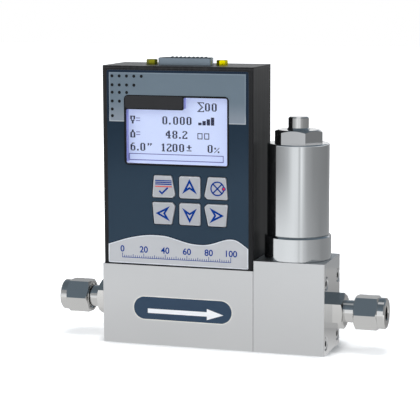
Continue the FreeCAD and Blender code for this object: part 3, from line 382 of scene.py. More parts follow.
def inward(points, distance):
    """An anticlockwise outline moved inward by distance, corner by corner."""
    moved = []
    for i, corner in enumerate(points):
        here = Vector(corner)
        before = (here - Vector(points[i - 1])).normalized()
        after = (Vector(points[(i + 1) % len(points)]) - here).normalized()
        left_a, left_b = Vector((-before.y, before.x)), Vector((-after.y, after.x))
        bisector = (left_a + left_b).normalized()
        moved.append(tuple(here + bisector * (distance / max(bisector.dot(left_a), 0.2))))
    return moved


def turned(points, quarter):
    """Points turned by quarter turns about the origin, anticlockwise."""
    a = quarter * math.pi / 2
    return [(x * math.cos(a) - z * math.sin(a), x * math.sin(a) + z * math.cos(a)) for x, z in points]


def moved_by(points, x, z):
    """Points moved by x and z."""
    return [(px + x, pz + z) for px, pz in points]


def bar(start, end, width):
    """A straight bar between two points, anticlockwise."""
    a, b = Vector(start), Vector(end)
    side = Vector((-(b - a).y, (b - a).x)).normalized() * width / 2
    return [tuple(a - side), tuple(b - side), tuple(b + side), tuple(a + side)]


# Shader nodes, and the shared effects of the finishes


def group_tree(name, inputs, *outputs):
    """A new shader node group, with the sockets of its start and of its end; inputs gives their defaults."""
    tree = bpy.data.node_groups.new(name, "ShaderNodeTree")
    kinds = {1: "NodeSocketFloat", 3: "NodeSocketVector", 4: "NodeSocketColor"}
    for label, default in inputs.items():
        kind = kinds[len(default) if isinstance(default, tuple) else 1]
        tree.interface.new_socket(label, in_out="INPUT", socket_type=kind).default_value = default
    for label in outputs:
        tree.interface.new_socket(label, in_out="OUTPUT", socket_type=kinds[4 if label == "Color" else 1])
    return tree, tree.nodes.new("NodeGroupInput").outputs, tree.nodes.new("NodeGroupOutput").inputs


def node(tree, kind, settings=None, **inputs):
    """Adds a node, sets its properties, and links or sets the inputs, named with _ for a space."""
    made = tree.nodes.new(kind)
    for key, value in (settings or {}).items():
        setattr(made, key, value)
    for key, value in inputs.items():
        socket = made.inputs[int(key[1:])] if key[1:].isdigit() else made.inputs[key.replace("_", " ")]
        if isinstance(value, bpy.types.NodeSocket):
            tree.links.new(value, socket)
        else:
            socket.default_value = value
    return made


def math_node(tree, operation, a, b=0.0, c=0.0, clamp=False):
    """A Math node's result."""
    return node(tree, "ShaderNodeMath", {"operation": operation, "use_clamp": clamp}, i0=a, i1=b, i2=c).outputs[0]


def vector_node(tree, operation, result=0, **inputs):
    """A Vector Math node's result."""
    return node(tree, "ShaderNodeVectorMath", {"operation": operation}, **inputs).outputs[result]


def own_place(tree):
    """The place on a piece, in the piece's own coordinates."""
    return node(tree, "ShaderNodeTexCoord").outputs["Object"]


def along(tree, axis, vector=None):
    """A vector's part along an axis, by default that of the place on a piece."""
    return node(tree, "ShaderNodeSeparateXYZ", Vector=vector or own_place(tree)).outputs[axis]


def mapped(tree, value, low, high, to_low=0.0, to_high=1.0, way="LINEAR"):
    """A value moved from the range low to high into another one, and held at its ends."""
    return node(tree, "ShaderNodeMapRange", {"interpolation_type": way}, Value=value, From_Min=low, From_Max=high,
                To_Min=to_low, To_Max=to_high).outputs[0]


def noise(tree, scale, detail, rough=0.5, place=None):
    """Smooth noise that swings round one half."""
    return node(tree, "ShaderNodeTexNoise", Vector=place or own_place(tree), Scale=scale, Detail=detail,
                Roughness=rough).outputs[0]


def mixed(tree, share, first, second):
    """A colour between two others."""
    return node(tree, "ShaderNodeMix", {"data_type": "RGBA"}, i0=share, i6=first, i7=second).outputs[2]


def colour_ramp(tree, share, tones, way="LINEAR"):
    """A colour ramp's result: tones holds pairs of a position from 0 to 1 and a colour."""
    ramp = node(tree, "ShaderNodeValToRGB", Fac=share)
    ramp.color_ramp.interpolation = way
    stops = ramp.color_ramp.elements
    while len(stops) < len(tones):
        stops.new(0.5)
    for stop, (position, tone) in zip(stops, tones):
        stop.position = position
        stop.color = (*tone, 1)
    return ramp.outputs[0]


def patch_group():
    """Slow drift of a colour from place to place."""
    tree, start, end = group_tree("tone_drift", {"Color": (1, 1, 1, 1), "Spread": 0.05, "Patch": 0.01}, "Color")
    often = math_node(tree, "DIVIDE", 1.0, start["Patch"])
    swing = math_node(tree, "SUBTRACT", noise(tree, often, 4.0, 0.6), 0.5)
    double = math_node(tree, "MULTIPLY", swing, 3.0)
    factor = math_node(tree, "MULTIPLY_ADD", double, start["Spread"], 1.0)
    tree.links.new(vector_node(tree, "SCALE", i0=start["Color"], Scale=factor), end["Color"])
    return tree


def grain_group():
    """Fine grain, drawn out along the directions where Stretch is small: a height and a roughness."""
    tree, start, end = group_tree(
        "fine_grain", {"Grain": 0.0004, "Stretch": (1, 1, 1), "Rough": 0.4, "Spread": 0.1}, "Roughness", "Height")
    drawn = vector_node(tree, "MULTIPLY", i0=own_place(tree), i1=start["Stretch"])
    height = noise(tree, math_node(tree, "DIVIDE", 1.0, start["Grain"]), 3.0, 0.55, drawn)
    swing = math_node(tree, "SUBTRACT", height, 0.5)
    tree.links.new(math_node(tree, "MULTIPLY_ADD", swing, start["Spread"], start["Rough"]), end["Roughness"])
    tree.links.new(height, end["Height"])
    return tree


def edge_highlight_group():
    """Painted edge highlight: a lighter colour along the edges, where light catches them, broken up by noise."""
    tree, start, end = group_tree(
        "painted_edge_highlight", {"Color": (1, 1, 1, 1), "Rubbed": (1, 1, 1, 1), "Width": 0.0003, "Amount": 0.5}, "Color")
    soft = node(tree, "ShaderNodeBevel", {"samples": 4}, Radius=start["Width"]).outputs[0]
    true = node(tree, "ShaderNodeNewGeometry").outputs["Normal"]
    edge = mapped(tree, vector_node(tree, "DOT_PRODUCT", "Value", i0=soft, i1=true), 0.995, 0.93)
    broken = mapped(tree, noise(tree, 260.0, 3.0), 0.3, 0.6, 0.35)
    some = math_node(tree, "MULTIPLY", edge, broken)
    mask = math_node(tree, "MULTIPLY", some, start["Amount"], clamp=True)
    tree.links.new(mixed(tree, mask, start["Color"], start["Rubbed"]), end["Color"])
    return tree


def ends_group():
    """A roughness of its own for the faces that look to the left or right."""
    tree, start, end = group_tree("ground_ends", {"Rough": 0.4, "Ends": 0.1}, "Roughness")
    normal = node(tree, "ShaderNodeNewGeometry").outputs["Normal"]
    sideways = math_node(tree, "ABSOLUTE", along(tree, "X", normal))
    tree.links.new(mapped(tree, sideways, 0.9, 0.97, start["Rough"], start["Ends"]), end["Roughness"])
    return tree


GROUPS = {"tone_drift": patch_group, "fine_grain": grain_group, "painted_edge_highlight": edge_highlight_group, "ground_ends": ends_group}


def effect(tree, name, **inputs):
    """Places one of the shared effects, building it the first time, and gives its outputs."""
    shared = bpy.data.node_groups.get(name) or GROUPS[name]()
    return node(tree, "ShaderNodeGroup", {"node_tree": shared}, **inputs).outputs


finishes_made = {}


def finish(name, tint, rough, metallic=0.0, drift=(0.04, 0.012), grain=0.0004, stretch=(1, 1, 1), spread=0.08,
           relief=0.00001, rub=None, edge_highlight_width=0.0003, rub_amount=0.6, ends=None, **fixed):
    """A finish: tone that drifts, fine grain in roughness and relief, and a painted highlight along the edges in a
    colour of its own.

    tint is a colour or a function that wires one, ends the roughness of faces that look to the left or right.
    """
    if name in finishes_made:
        return finishes_made[name]
    material = finishes_made[name] = bpy.data.materials.new(name)
    material.use_nodes = True
    tree = material.node_tree
    shader = tree.nodes["Principled BSDF"].inputs
    for key, value in {"Metallic": metallic, **fixed}.items():
        shader[key.replace("_", " ")].default_value = value
    base = tint(tree) if callable(tint) else (*tint, 1)
    toned = effect(tree, "tone_drift", Color=base, Spread=drift[0], Patch=drift[1])[0]
    # Painted edge highlight along the edges.
    if rub:
        toned = effect(tree, "painted_edge_highlight", Color=toned, Rubbed=(*rub, 1), Width=edge_highlight_width, Amount=rub_amount)[0]
    tree.links.new(toned, shader["Base Color"])
    fine = effect(tree, "fine_grain", Grain=grain, Stretch=stretch, Rough=rough, Spread=spread)
    roughness = fine["Roughness"]
    if ends is not None:
        roughness = effect(tree, "ground_ends", Rough=roughness, Ends=ends)[0]
    tree.links.new(roughness, shader["Roughness"])
    bump = node(tree, "ShaderNodeBump", Strength=1.0, Distance=relief, Height=fine["Height"])
    tree.links.new(bump.outputs[0], shader["Normal"])
    return material


def upright_ramp(low, high, low_tint, high_tint, axis="Z"):
    """Wires a colour that changes with height, or along another axis, between low and high."""
    def wire(tree):
        share = mapped(tree, along(tree, axis), low, high)
        return colour_ramp(tree, share, [(0, low_tint), (1, high_tint)], "EASE")
    return wire


def streaks_and_sheen(dark, light, width):
    """Wires a colour that wanders between two tones in upright streaks of about the given width: partly extrusion
    lines, partly a painted sheen.
    """
    def wire(tree):
        drawn = vector_node(tree, "MULTIPLY", i0=own_place(tree), i1=(1, 1, 0.015))
        share = mapped(tree, noise(tree, 1 / width, 2.0, place=drawn), 0.42, 0.68)
        return mixed(tree, share, (*dark, 1), (*light, 1))
    return wire


def printed(name, tint, **more):
    """Screen ink on film: satin, with a fine even grain."""
    values = {"rough": 0.42, "drift": (0.03, 0.02), "grain": 0.00025, "spread": 0.06, "relief": 0.000004,
              "Specular_IOR_Level": 0.2, **more}
    return finish(name, tint, **values)


class METER_OT_camera(bpy.types.Operator):
    """Set up the camera at the front right, a little above the display head's top"""

    bl_idname = "meter.camera"
    bl_label = "Camera"

    def execute(self, context):
        s = context.scene.meter_studio
        aim = Matrix.Rotation(s.turn, 4, "Z") @ Matrix.Rotation(s.tilt, 4, "X") @ Matrix.Rotation(s.roll, 4, "Z")
        camera = added(bpy.ops.object.camera_add, location=s.place, rotation=aim.to_euler())
        camera.name = "product_camera"
        camera.data.lens = s.lens
        camera.data.sensor_width = 36
        camera.data.clip_start, camera.data.clip_end = 0.01, 50
        context.scene.camera = camera
        return {"FINISHED"}


class METER_OT_stage(bpy.types.Operator):
    """Set up the pale floor, the surroundings that the metal reflects, and the lamps"""

    bl_idname = "meter.stage"
    bl_label = "Floor, surroundings and lamps"

    def emptied(self, holder):
        """The emptied node tree of a new material or world."""
        holder.use_nodes = True
        holder.node_tree.nodes.clear()
        return holder.node_tree

    def seen_directly(self, tree):
        """1 for the camera's own rays, also through the clear pane, and 0 for all others."""
        path = node(tree, "ShaderNodeLightPath").outputs
        return math_node(tree, "MAXIMUM", path["Is Camera Ray"], path["Is Transmission Ray"])

    def floor(self, s):
        """A pale floor that brightens outward: one tone for the camera and another for reflections, darker close to
        the meter as a painted shade, with a painted contact shadow where the meter stands.
        """
        floor = added(bpy.ops.mesh.primitive_plane_add, size=6)
        floor.name = "floor"
        material = bpy.data.materials.new("floor_white")
        tree = self.emptied(material)
        place = own_place(tree)
        away = vector_node(tree, "LENGTH", "Value", i0=place)
        share = mapped(tree, away, *GLOW_RISE, way="SMOOTHSTEP")
        seen = mapped(tree, share, 0, 1, s.floor_near, s.floor_far)
        # Painted shade: the floor as reflections show it is darker close to the meter. It is also darker behind the
        # meter.
        reach = mapped(tree, away, *MIRROR_RISE, way="SMOOTHSTEP")
        tone = mapped(tree, reach, 0, 1, s.mirror_near, s.mirror_far)
        back = mapped(tree, along(tree, "Y", place), *BACK_FADE, 1.0, s.mirror_back)
        # Painted contact shadow: the glow that the camera sees dims where the meter stands close by.
        painted_contact_shadow = node(tree, "ShaderNodeAmbientOcclusion", {"samples": 8}, Distance=PAINTED_SHADOW_REACH).outputs["AO"]
        seen = math_node(tree, "MULTIPLY", seen, math_node(tree, "POWER", painted_contact_shadow, 3.0))
        glow = node(tree, "ShaderNodeEmission", Strength=math_node(tree, "MULTIPLY", self.seen_directly(tree), seen))
        paint = node(tree, "ShaderNodeBsdfDiffuse", Color=(0.8, 0.8, 0.8, 1))
        plain = node(tree, "ShaderNodeAddShader", i0=glow.outputs[0], i1=paint.outputs[0])
        mirror = node(tree, "ShaderNodeEmission", Strength=math_node(tree, "MULTIPLY", tone, back))
        glossy = node(tree, "ShaderNodeLightPath").outputs["Is Glossy Ray"]
        both = node(tree, "ShaderNodeMixShader", i0=glossy, i1=plain.outputs[0], i2=mirror.outputs[0])
        node(tree, "ShaderNodeOutputMaterial", Surface=both.outputs[0])
        floor.data.materials.append(material)

    def bearing_ramp(self, tree, bearing, tones):
        """A grey that depends on the direction: tones holds pairs of degrees and grey."""
        share = mapped(tree, bearing, -math.pi, math.pi)
        return colour_ramp(tree, share, [
            ((degrees + 180) / 360, (tone * 0.98, tone, tone * 1.02)) for degrees, tone in tones])

    def wall(self, s):
        """A ring of panels and flags that only reflections show, darker above than below."""
        middle = (s.wall_high + s.wall_low) / 2
        wall = added(
            bpy.ops.mesh.primitive_cylinder_add, vertices=96, radius=s.wall_radius, depth=s.wall_high - s.wall_low,
            end_fill_type="NOTHING", location=(0.03, 0, middle),
        )
        wall.name = "reflected_wall"
        material = bpy.data.materials.new("wall_tones")
        tree = self.emptied(material)
        split = node(tree, "ShaderNodeSeparateXYZ", Vector=own_place(tree)).outputs
        bearing = math_node(tree, "ARCTAN2", split["X"], math_node(tree, "MULTIPLY", split["Y"], -1.0))
        low = self.bearing_ramp(tree, bearing, [
            (-180, 0.42), (-75, 1.0), (-40, 1.0), (-20, 1.05), (0, 1.05), (14, 0.95), (18, 0.75), (26, 0.95),
            (34, 0.72), (50, 0.5), (100, 0.33), (140, 0.36), (158, 0.4), (180, 0.42),
        ])
        high = self.bearing_ramp(tree, bearing, [
            (-180, 0.5), (-150, 0.45), (-110, 0.28), (-75, 0.33), (-38, 0.5), (-22, 0.62), (-4, 1.0), (14, 1.05),
            (20, 0.62), (26, 1.2), (33, 0.84), (42, 0.5), (70, 0.34), (140, 0.27), (160, 0.36), (180, 0.5),
        ])
        rise = mapped(tree, split["Z"], *(height - middle for height in WALL_CHANGE))
        glow = node(tree, "ShaderNodeEmission", Color=mixed(tree, rise, low, high))
        node(tree, "ShaderNodeOutputMaterial", Surface=glow.outputs[0])
        wall.data.materials.append(material)
        for ray in ("camera", "diffuse", "transmission", "volume_scatter", "shadow"):
            setattr(wall, "visible_" + ray, False)

    def surroundings(self):
        """White for the camera; for all else white at the horizon, dark above it and pale overhead."""
        world = bpy.context.scene.world = bpy.data.worlds.new("studio")
        tree = self.emptied(world)
        up = along(tree, "Z", node(tree, "ShaderNodeTexCoord").outputs["Generated"])
        sky = colour_ramp(tree, up, [
            (0.0, (1.0, 1.0, 1.0)), (0.3, (0.92, 0.94, 0.97)), (0.46, (0.18, 0.23, 0.28)),
            (0.955, (0.12, 0.15, 0.175)), (0.985, (0.85, 0.86, 0.88)),
        ])
        tone = mixed(tree, self.seen_directly(tree), sky, (1, 1, 1, 1))
        shown = node(tree, "ShaderNodeBackground", Color=tone, Strength=1.0)
        node(tree, "ShaderNodeOutputWorld", Surface=shown.outputs[0])

    def lamp(self, name, power, width, height, place, aim):
        """A rectangular lamp at place, turned to aim, which reflections don't show."""
        way = (Vector(aim) - Vector(place)).to_track_quat("-Z", "Y").to_euler()
        lamp = added(bpy.ops.object.light_add, type="AREA", location=place, rotation=way)
        lamp.name = name
        lamp.data.shape = "RECTANGLE"
        lamp.data.size, lamp.data.size_y = width, height
        lamp.data.energy = power
        lamp.visible_camera = lamp.visible_glossy = False

    def execute(self, context):
        s = context.scene.meter_studio
        self.floor(s)
        self.wall(s)
        self.surroundings()
        self.lamp("key_lamp", s.key_power, 0.9, 0.7, (-0.5, -0.95, 0.75), (0, 0, 0.06))
        self.lamp("top_lamp", s.top_power, 0.45, 0.35, (0.0, -0.05, 0.85), (0, 0, 0))
        self.lamp("side_lamp", s.side_power, 0.5, 0.6, (0.95, -0.35, 0.45), (0, 0, 0.06))
        context.scene.view_settings.view_transform = "Standard"
        return {"FINISHED"}


class METER_OT_front_print(bpy.types.Operator):
    """Print the front film: silver field, dots, window outline, wave and graduated rule"""

    bl_idname = "meter.front_print"
    bl_label = "Printed front"

    def execute(self, context):
        s = context.scene.meter_print
        left, right, low, high, tab_right, tab_low, width = in_mm(
            s, "window_left", "window_right", "window_bottom", "window_top", "tab_right", "tab_bottom", "outline")
        window = (left - WINDOW_GAP, right + WINDOW_GAP, low - WINDOW_GAP, high + WINDOW_GAP)
        self.print_field(s, window)
        self.print_header(s, window)
        self.print_dots(s)

        outer_round, window_round, tab_round = 2.0, 0.72, 1.1
        outer = rounded(rectangle(left - width, right + width, low - width, high + width), outer_round)
        corners = [(left, low), (right, low), (right, high), (tab_right, high), (tab_right, tab_low),
                   (left, tab_low)]
        film_layer(4, "print_window_outline", printed("ink_black", s.black, rough=0.36), outer,
                   rounded(corners, window_round))
        tab = rectangle(left - width * 0.4, tab_right - 0.35, tab_low + 0.4, high + width * 0.55)
        film_layer(5, "print_tab", printed("ink_tab_grey", s.tab_grey, rough=0.4), rounded(tab, tab_round))

        self.print_wave(s)
        self.print_rule(s)
        return {"FINISHED"}

    def print_field(self, s, window):
        """The navy field below the silver one, open at the window and round each key."""
        left, right, bottom, _ = window
        edge_left, edge_right, foot = SKIN_LOW.x + FILM_EDGE, SKIN_HIGH.x - FILM_EDGE, SKIN_LOW.z + FILM_EDGE
        top = s.header_bottom / MM - 0.02
        outline = [(edge_left, foot), (edge_right, foot), (edge_right, top), (right, top), (right, bottom),
                   (left, bottom), (left, top), (edge_left, top)]
        holes = [inward(front_outline("key_" + key), -s.key_line / MM) for key in KEYS]
        navy = printed("ink_navy", upright_ramp(0.07, 0.102, s.navy, s.navy_top))
        film_layer(1, "print_field", navy, outline, *holes)

    def print_header(self, s, window):
        """The silver field with the window's notch in it, and its pale rim."""
        left, right, _, high = window
        a, b, low, top, rim = in_mm(s, "header_left", "header_right", "header_bottom", "header_top", "header_rim")
        whole, inner = (
            [(a + d, low + d), (left, low + d), (left, high), (right, high), (right, low + d), (b - d, low + d),
             (b - d, top - d), (a + d, top - d)] for d in (0, rim))
        pale = upright_ramp(s.header_bottom, 0.108, ink(164, 171, 178), ink(122, 135, 146))
        slate = upright_ramp(s.header_bottom, 0.1125, s.slate_bottom, s.slate_top)
        film_layer(1, "print_header_rim", printed("ink_slate_rim", pale), whole)
        film_layer(2, "print_header", printed("ink_slate", slate), inner)

    def print_dots(self, s):
        """The corner pattern of round dots, fewer in each lower row."""
        columns = (-46.65, -43.2, -39.7, -36.2, -32.65)
        rows = ((122.1, 5), (118.1, 4), (114.75, 3), (110.8, 2), (107.2, 1), (104.2, 1))
        dots = [circle(x, z, s.dot / MM / 2, 20) for z, count in rows for x in columns[:count]]
        film_layer(3, "print_dots", printed("ink_black", s.black, rough=0.36), *dots)

    def print_wave(self, s):
        """The silver wave along the bottom with its pale line, and the dark line over it."""
        crest = smooth_line([
            (-49.25, 45.65), (-45.4, 46.9), (-40.1, 48.6), (-34.8, 49.8), (-29.5, 50.5), (-24.3, 50.5),
            (-20.7, 50.15), (-16.6, 49.1), (-13.0, 48.1), (-8.85, 47.3), (-3.7, 47.15), (0.4, 47.9), (3.9, 49.1),
            (6.5, 49.9), (9.0, 50.25), (11.5, 49.9), (14.0, 48.5), (17.1, 46.3),
        ], 4)[::-1]
        left, right, foot, rim = crest[-1][0], crest[0][0], SKIN_LOW.z + 0.12, s.wave_rim / MM
        base = [(left, foot), (right, foot)]
        shade = base + [(x, z + 0.5) for x, z in crest]
        inner = [(left + rim, foot + rim), (right - rim, foot + rim)]
        inner += [(x, z - rim * 1.05) for x, z in crest if left + rim <= x <= right - rim]
        film_layer(2, "print_wave_shade", printed("ink_deep_navy", s.deep_navy), shade)
        film_layer(3, "print_wave_rim", printed("ink_pale", s.pale), base + crest)
        film_layer(4, "print_wave", printed("ink_silver", s.silver), inner)

    def print_rule(self, s):
        """A plain graduated rule in blue with its numbers."""
        first, last = in_mm(s, "rule_left", "rule_right")
        foot, line, half, depth = 39.7, 39.98, 0.13, s.film / MM * 5
        marks = []
        for i in range(51):
            x = first + (last - first) * i / 50
            tall = 1.9 if i % 10 == 0 else 1.35 if i % 5 == 0 else 0.85
            marks.append(rectangle(x - half, x + half, line, line + tall))
        # The baseline touches the marks, so it is a figure of its own before they are joined.
        baseline = rectangle(first - half - 0.01, last + half + 0.01, foot, line)
        figures = [flat_figure(outlines, SKIN_FACE, depth) for outlines in ([baseline], marks)]
        for i in range(6):
            x = first + (last - first) * i / 5
            figures.append(flat_number(str(i * 20), x, 42.4, 2.9, SKIN_FACE, depth))
        settled(joined(figures), "print_rule", printed("ink_blue", s.blue, Specular_IOR_Level=0.08))


def smooth_line(points, steps):
    """A smooth line through the points (Catmull-Rom), steps to each run."""
    line = []
    for i in range(len(points) - 1):
        p0, p1, p2, p3 = (Vector(points[max(0, min(len(points) - 1, i + k))]) for k in (-1, 0, 1, 2))
        for k in range(steps):
            t = k / steps
            q = 0.5 * (2 * p1 + (p2 - p0) * t + (2 * p0 - 5 * p1 + 4 * p2 - p3) * t * t
                       + (3 * p1 - p0 - 3 * p2 + p3) * t ** 3)
            line.append((q.x, q.y))
    return line + [points[-1]]


# Figures of the display, row by row from the top; each pair of digits is one row of dots in base 16.
FIGURES = {
    "0": "1e 33 33 33 33 33 33 33 1e",
    "1": "0c 1c 0c 0c 0c 0c 0c 0c 1e",
    "2": "1e 33 03 06 0c 18 30 33 3f",
    "4": "06 0e 1e 36 36 3f 06 06 0f",
    "6": "0e 18 30 3e 33 33 33 33 1e",
    "8": "1e 33 33 33 1e 33 33 33 1e",
    ".": "30 30",
    "%": "31 32 04 08 13 23",
    "sum": "ff 61 30 18 0c 06 0c 18 30 61 ff",
    "down": "3f 33 33 33 12 1e 0c 0c 0c",
    "tank": "0c 0c 1e 33 33 33 33 33 3f",
    "equals": "3e 00 00 3e",
    **{f"step{n}": " ".join(["3c"] * (2 * n + 1)) for n in (1, 2, 3, 4)},
    "box": "3f 21 21 21 21 21 3f",
    "plusminus": "0c 0c 3f 0c 0c 00 3f",
    "marks": "1b 1b 12",
}
# What the display shows: figure, its first column, its lowest row.
DARK_FIGURES = [
    ("sum", 84, 57), ("0", 93, 58), ("0", 101, 58),
    ("down", 3, 42), ("0", 42, 42), (".", 50, 42), ("0", 55, 42), ("0", 63, 42), ("0", 71, 42),
    ("step1", 85, 42), ("step2", 90, 42), ("step3", 95, 42), ("step4", 100, 42),
    ("tank", 3, 26), ("4", 46, 26), ("8", 54, 26), (".", 62, 26), ("2", 66, 26), ("box", 84, 26),
    ("box", 92, 26),
    ("6", 3, 11), (".", 11, 11), ("0", 15, 11), ("marks", 23, 17),
    ("1", 40, 11), ("2", 47, 11), ("0", 54, 11), ("0", 62, 11), ("plusminus", 71, 12), ("0", 96, 11),
    ("%", 104, 11),
]
FAINT_FIGURES = [("equals", 10, 45), ("equals", 10, 29)]
COLUMNS, ROWS = 116, 69


def dots_of(figures):
    """The dots, as (column, row) from the bottom left, that a list of placed figures lights."""
    dots = set()
    for name, column, row in figures:
        lines = [int(line, 16) for line in FIGURES[name].split()]
        width = 8 if name == "sum" else 6
        for down, line in enumerate(reversed(lines)):
            dots |= {(column + width - 1 - bit, row + down) for bit in range(width) if line >> bit & 1}
    return dots


class METER_OT_display(bpy.types.Operator):
    """Draw the display's figures as dots of a dot matrix in front of its glass"""

    bl_idname = "meter.display"
    bl_label = "Display picture"

    def dot_field(self, s, name, dots, finish_of_dots):
        """A grid over the display with only the given dots kept, each drawn in from its neighbours."""
        grid = added(bpy.ops.mesh.primitive_grid_add, x_subdivisions=COLUMNS, y_subdivisions=ROWS, size=1)
        pitch = s.pitch
        bpy.ops.object.mode_set(mode="EDIT")
        bpy.ops.mesh.select_all(action="SELECT")
        bpy.ops.transform.resize(value=(COLUMNS * pitch, ROWS * pitch, 1))
        bpy.ops.transform.translate(value=(COLUMNS * pitch / 2, ROWS * pitch / 2, 0))
        bpy.ops.object.mode_set(mode="OBJECT")
        pick_faces(grid, lambda face: (int(face.center.x / pitch), int(face.center.y / pitch)) not in dots)
        bpy.ops.mesh.delete(type="FACE")
        bpy.ops.mesh.select_all(action="SELECT")
        bpy.ops.mesh.inset(thickness=s.gap, use_individual=True)
        bpy.ops.mesh.select_all(action="INVERT")
        bpy.ops.mesh.delete(type="FACE")
        bpy.ops.object.mode_set(mode="OBJECT")
        body = grid.modifiers.new("body", "SOLIDIFY")
        body.thickness = s.lift - 0.00001
        bpy.ops.object.modifier_apply(modifier=body.name)
        grid.rotation_euler = (math.pi / 2, 0, 0)
        grid.location = (s.left, GLASS_FACE * MM - s.lift, s.bottom)
        return settled(grid, name, finish_of_dots)

    def execute(self, context):
        s = context.scene.meter_display
        bar_dots = {(c, r) for c in range(1, 115) for r in (0, 7)} | {(c, r) for c in (1, 114) for r in range(8)}
        dark = printed("dots_dark", s.dot_dark, rough=0.5)
        faint = printed("dots_faint", s.dot_faint, rough=0.5)
        self.dot_field(s, "display_figures", dots_of(DARK_FIGURES), dark)
        self.dot_field(s, "display_bar", dots_of(FAINT_FIGURES) | bar_dots, faint)
        return {"FINISHED"}


class METER_OT_key_signs(bpy.types.Operator):
    """Print the signs on the six keys"""

    bl_idname = "meter.key_signs"
    bl_label = "Key signs"

    def execute(self, context):
        s, p = context.scene.meter_keys, context.scene.meter_print
        blue, red = printed("ink_blue", p.blue, Specular_IOR_Level=0.08), printed("ink_red", p.red)
        thick = 2 * p.film / MM
        reach, wing, stroke, ring, line = in_mm(s, "arrow_reach", "arrow_wing", "stroke", "ring", "ring_stroke")
        foot, notch = -2.9, -0.7
        arrow = [(0, reach), (-wing, foot), (0, notch), (wing, foot)]
        arrows = {"up": (0, 0), "left": (1, 0.1), "down": (2, 0), "right": (3, -0.1)}
        for key in KEYS:
            low, high = box_mm("key_" + key)
            x, z, face, body = (low.x + high.x) / 2, (low.z + high.z) / 2, low.y, key + "_key"
            if key in arrows:
                quarter, shift = arrows[key]
                shapes = [moved_by(turned(shape, quarter), x + shift, z) for shape in (arrow, inward(arrow, stroke))]
                settled(flat_figure(shapes, face, thick), "sign_" + key, blue, body)
            elif key == "valve":
                x += 0.75
                knob = x + ring - 0.35
                half = (ring - line / 2) * math.sqrt(0.5)
                rise, fall = (bar((x - half, z - tip), (x + half, z + tip), line) for tip in (half, -half))
                # These shapes cross, so each is a figure of its own before they are joined.
                parts = [flat_figure([circle(x, z, ring, 48), circle(x, z, ring - line, 48)], face, thick),
                         flat_figure([rise], face, thick), flat_figure([fall], face, thick),
                         flat_figure([circle(knob, z, 0.95)], face, thick * 1.15)]
                settled(joined(parts), "sign_valve", blue, body)
                settled(flat_figure([circle(knob, z, 0.5)], face, thick * 1.4), "sign_valve_dot", red, body)
            else:
                bars = [rectangle(x - 3.9, x + 3.9, z + up, z + up + 0.5) for up in (0.9, 1.7, 2.5)]
                tick = [(-2.3, -1.9), (-1.75, -1.35), (-0.75, -2.3), (1.75, 0.15), (2.3, -0.4), (-0.75, -3.35)]
                settled(flat_figure([*bars, moved_by(tick, x, z - 0.25)], face, thick), "sign_menu", blue, body)
                settled(flat_figure([rectangle(x - 4.0, x + 4.0, z - 0.1, z + 0.3)], face, thick),
                        "sign_menu_line", red, body)
        return {"FINISHED"}


class METER_OT_flow_mark(bpy.types.Operator):
    """Print the flow direction mark on the block's front"""

    bl_idname = "meter.flow_mark"
    bl_label = "Flow direction mark"

    def execute(self, context):
        s, step = context.scene.meter_plate, context.scene.meter_print.film / MM
        left, right, low, top, line = in_mm(s, "left", "right", "bottom", "top", "line")
        radius = (top - low) / 2 - 0.001
        outer = rounded(rectangle(left, right, low, top), radius, 16)
        inner = rounded(rectangle(left + line, right - line, low + line, top - line), radius - line, 16)
        arrow = [(-30.3, 14.7), (-2.1, 14.7), (-2.1, 13.1), (5.7, 15.7), (-2.1, 18.2), (-2.1, 16.75),
                 (-30.3, 16.75)]
        layers = (("outline", outer, "ink_outline", s.outline), ("field", inner, "ink_flow_field", s.field),
                  ("arrow", arrow, "ink_white", s.arrow))
        for level, (part, points, name, tint) in enumerate(layers, 1):
            settled(flat_figure([points], BLOCK_FACE, step * level), "flow_mark_" + part, printed(name, tint))
        return {"FINISHED"}


class METER_OT_connector_ribs(bpy.types.Operator):
    """Add the small rounded ribs along the front of the connector's insulator"""

    bl_idname = "meter.connector_ribs"
    bl_label = "Connector ribs"

    def execute(self, context):
        count, pitch, first = 9, 1.98, -5.9
        rib = added(bpy.ops.mesh.primitive_cylinder_add, vertices=14, radius=0.62 * MM, depth=1.5 * MM)
        pick_faces(rib, lambda face: abs(face.normal.z) > 0.9)
        bpy.ops.mesh.inset(thickness=0.2 * MM)
        bpy.ops.transform.resize(value=(1, 1, 1.16))
        bpy.ops.object.mode_set(mode="OBJECT")
        rib.rotation_euler = (math.pi / 2, 0, 0)
        bpy.ops.object.transform_apply(location=True, rotation=True, scale=True)
        row = rib.modifiers.new("row", "ARRAY")
        row.count = count
        row.use_relative_offset = False
        row.use_constant_offset = True
        row.constant_offset_displace = (pitch * MM, 0, 0)
        bpy.ops.object.modifier_apply(modifier=row.name)
        middle = (SOCKET_LOW.x + SOCKET_HIGH.x) / 2
        rib.location = ((middle + first) * MM, (SOCKET_LOW.y + 1.0) * MM, (SOCKET_HIGH.z - 0.02) * MM)
        bpy.ops.object.shade_smooth_by_angle(angle=math.radians(40))
        settled(rib, "connector_ribs", finish("insulator_dark", ink(52, 60, 66), 0.5, grain=0.0003))
        return {"FINISHED"}


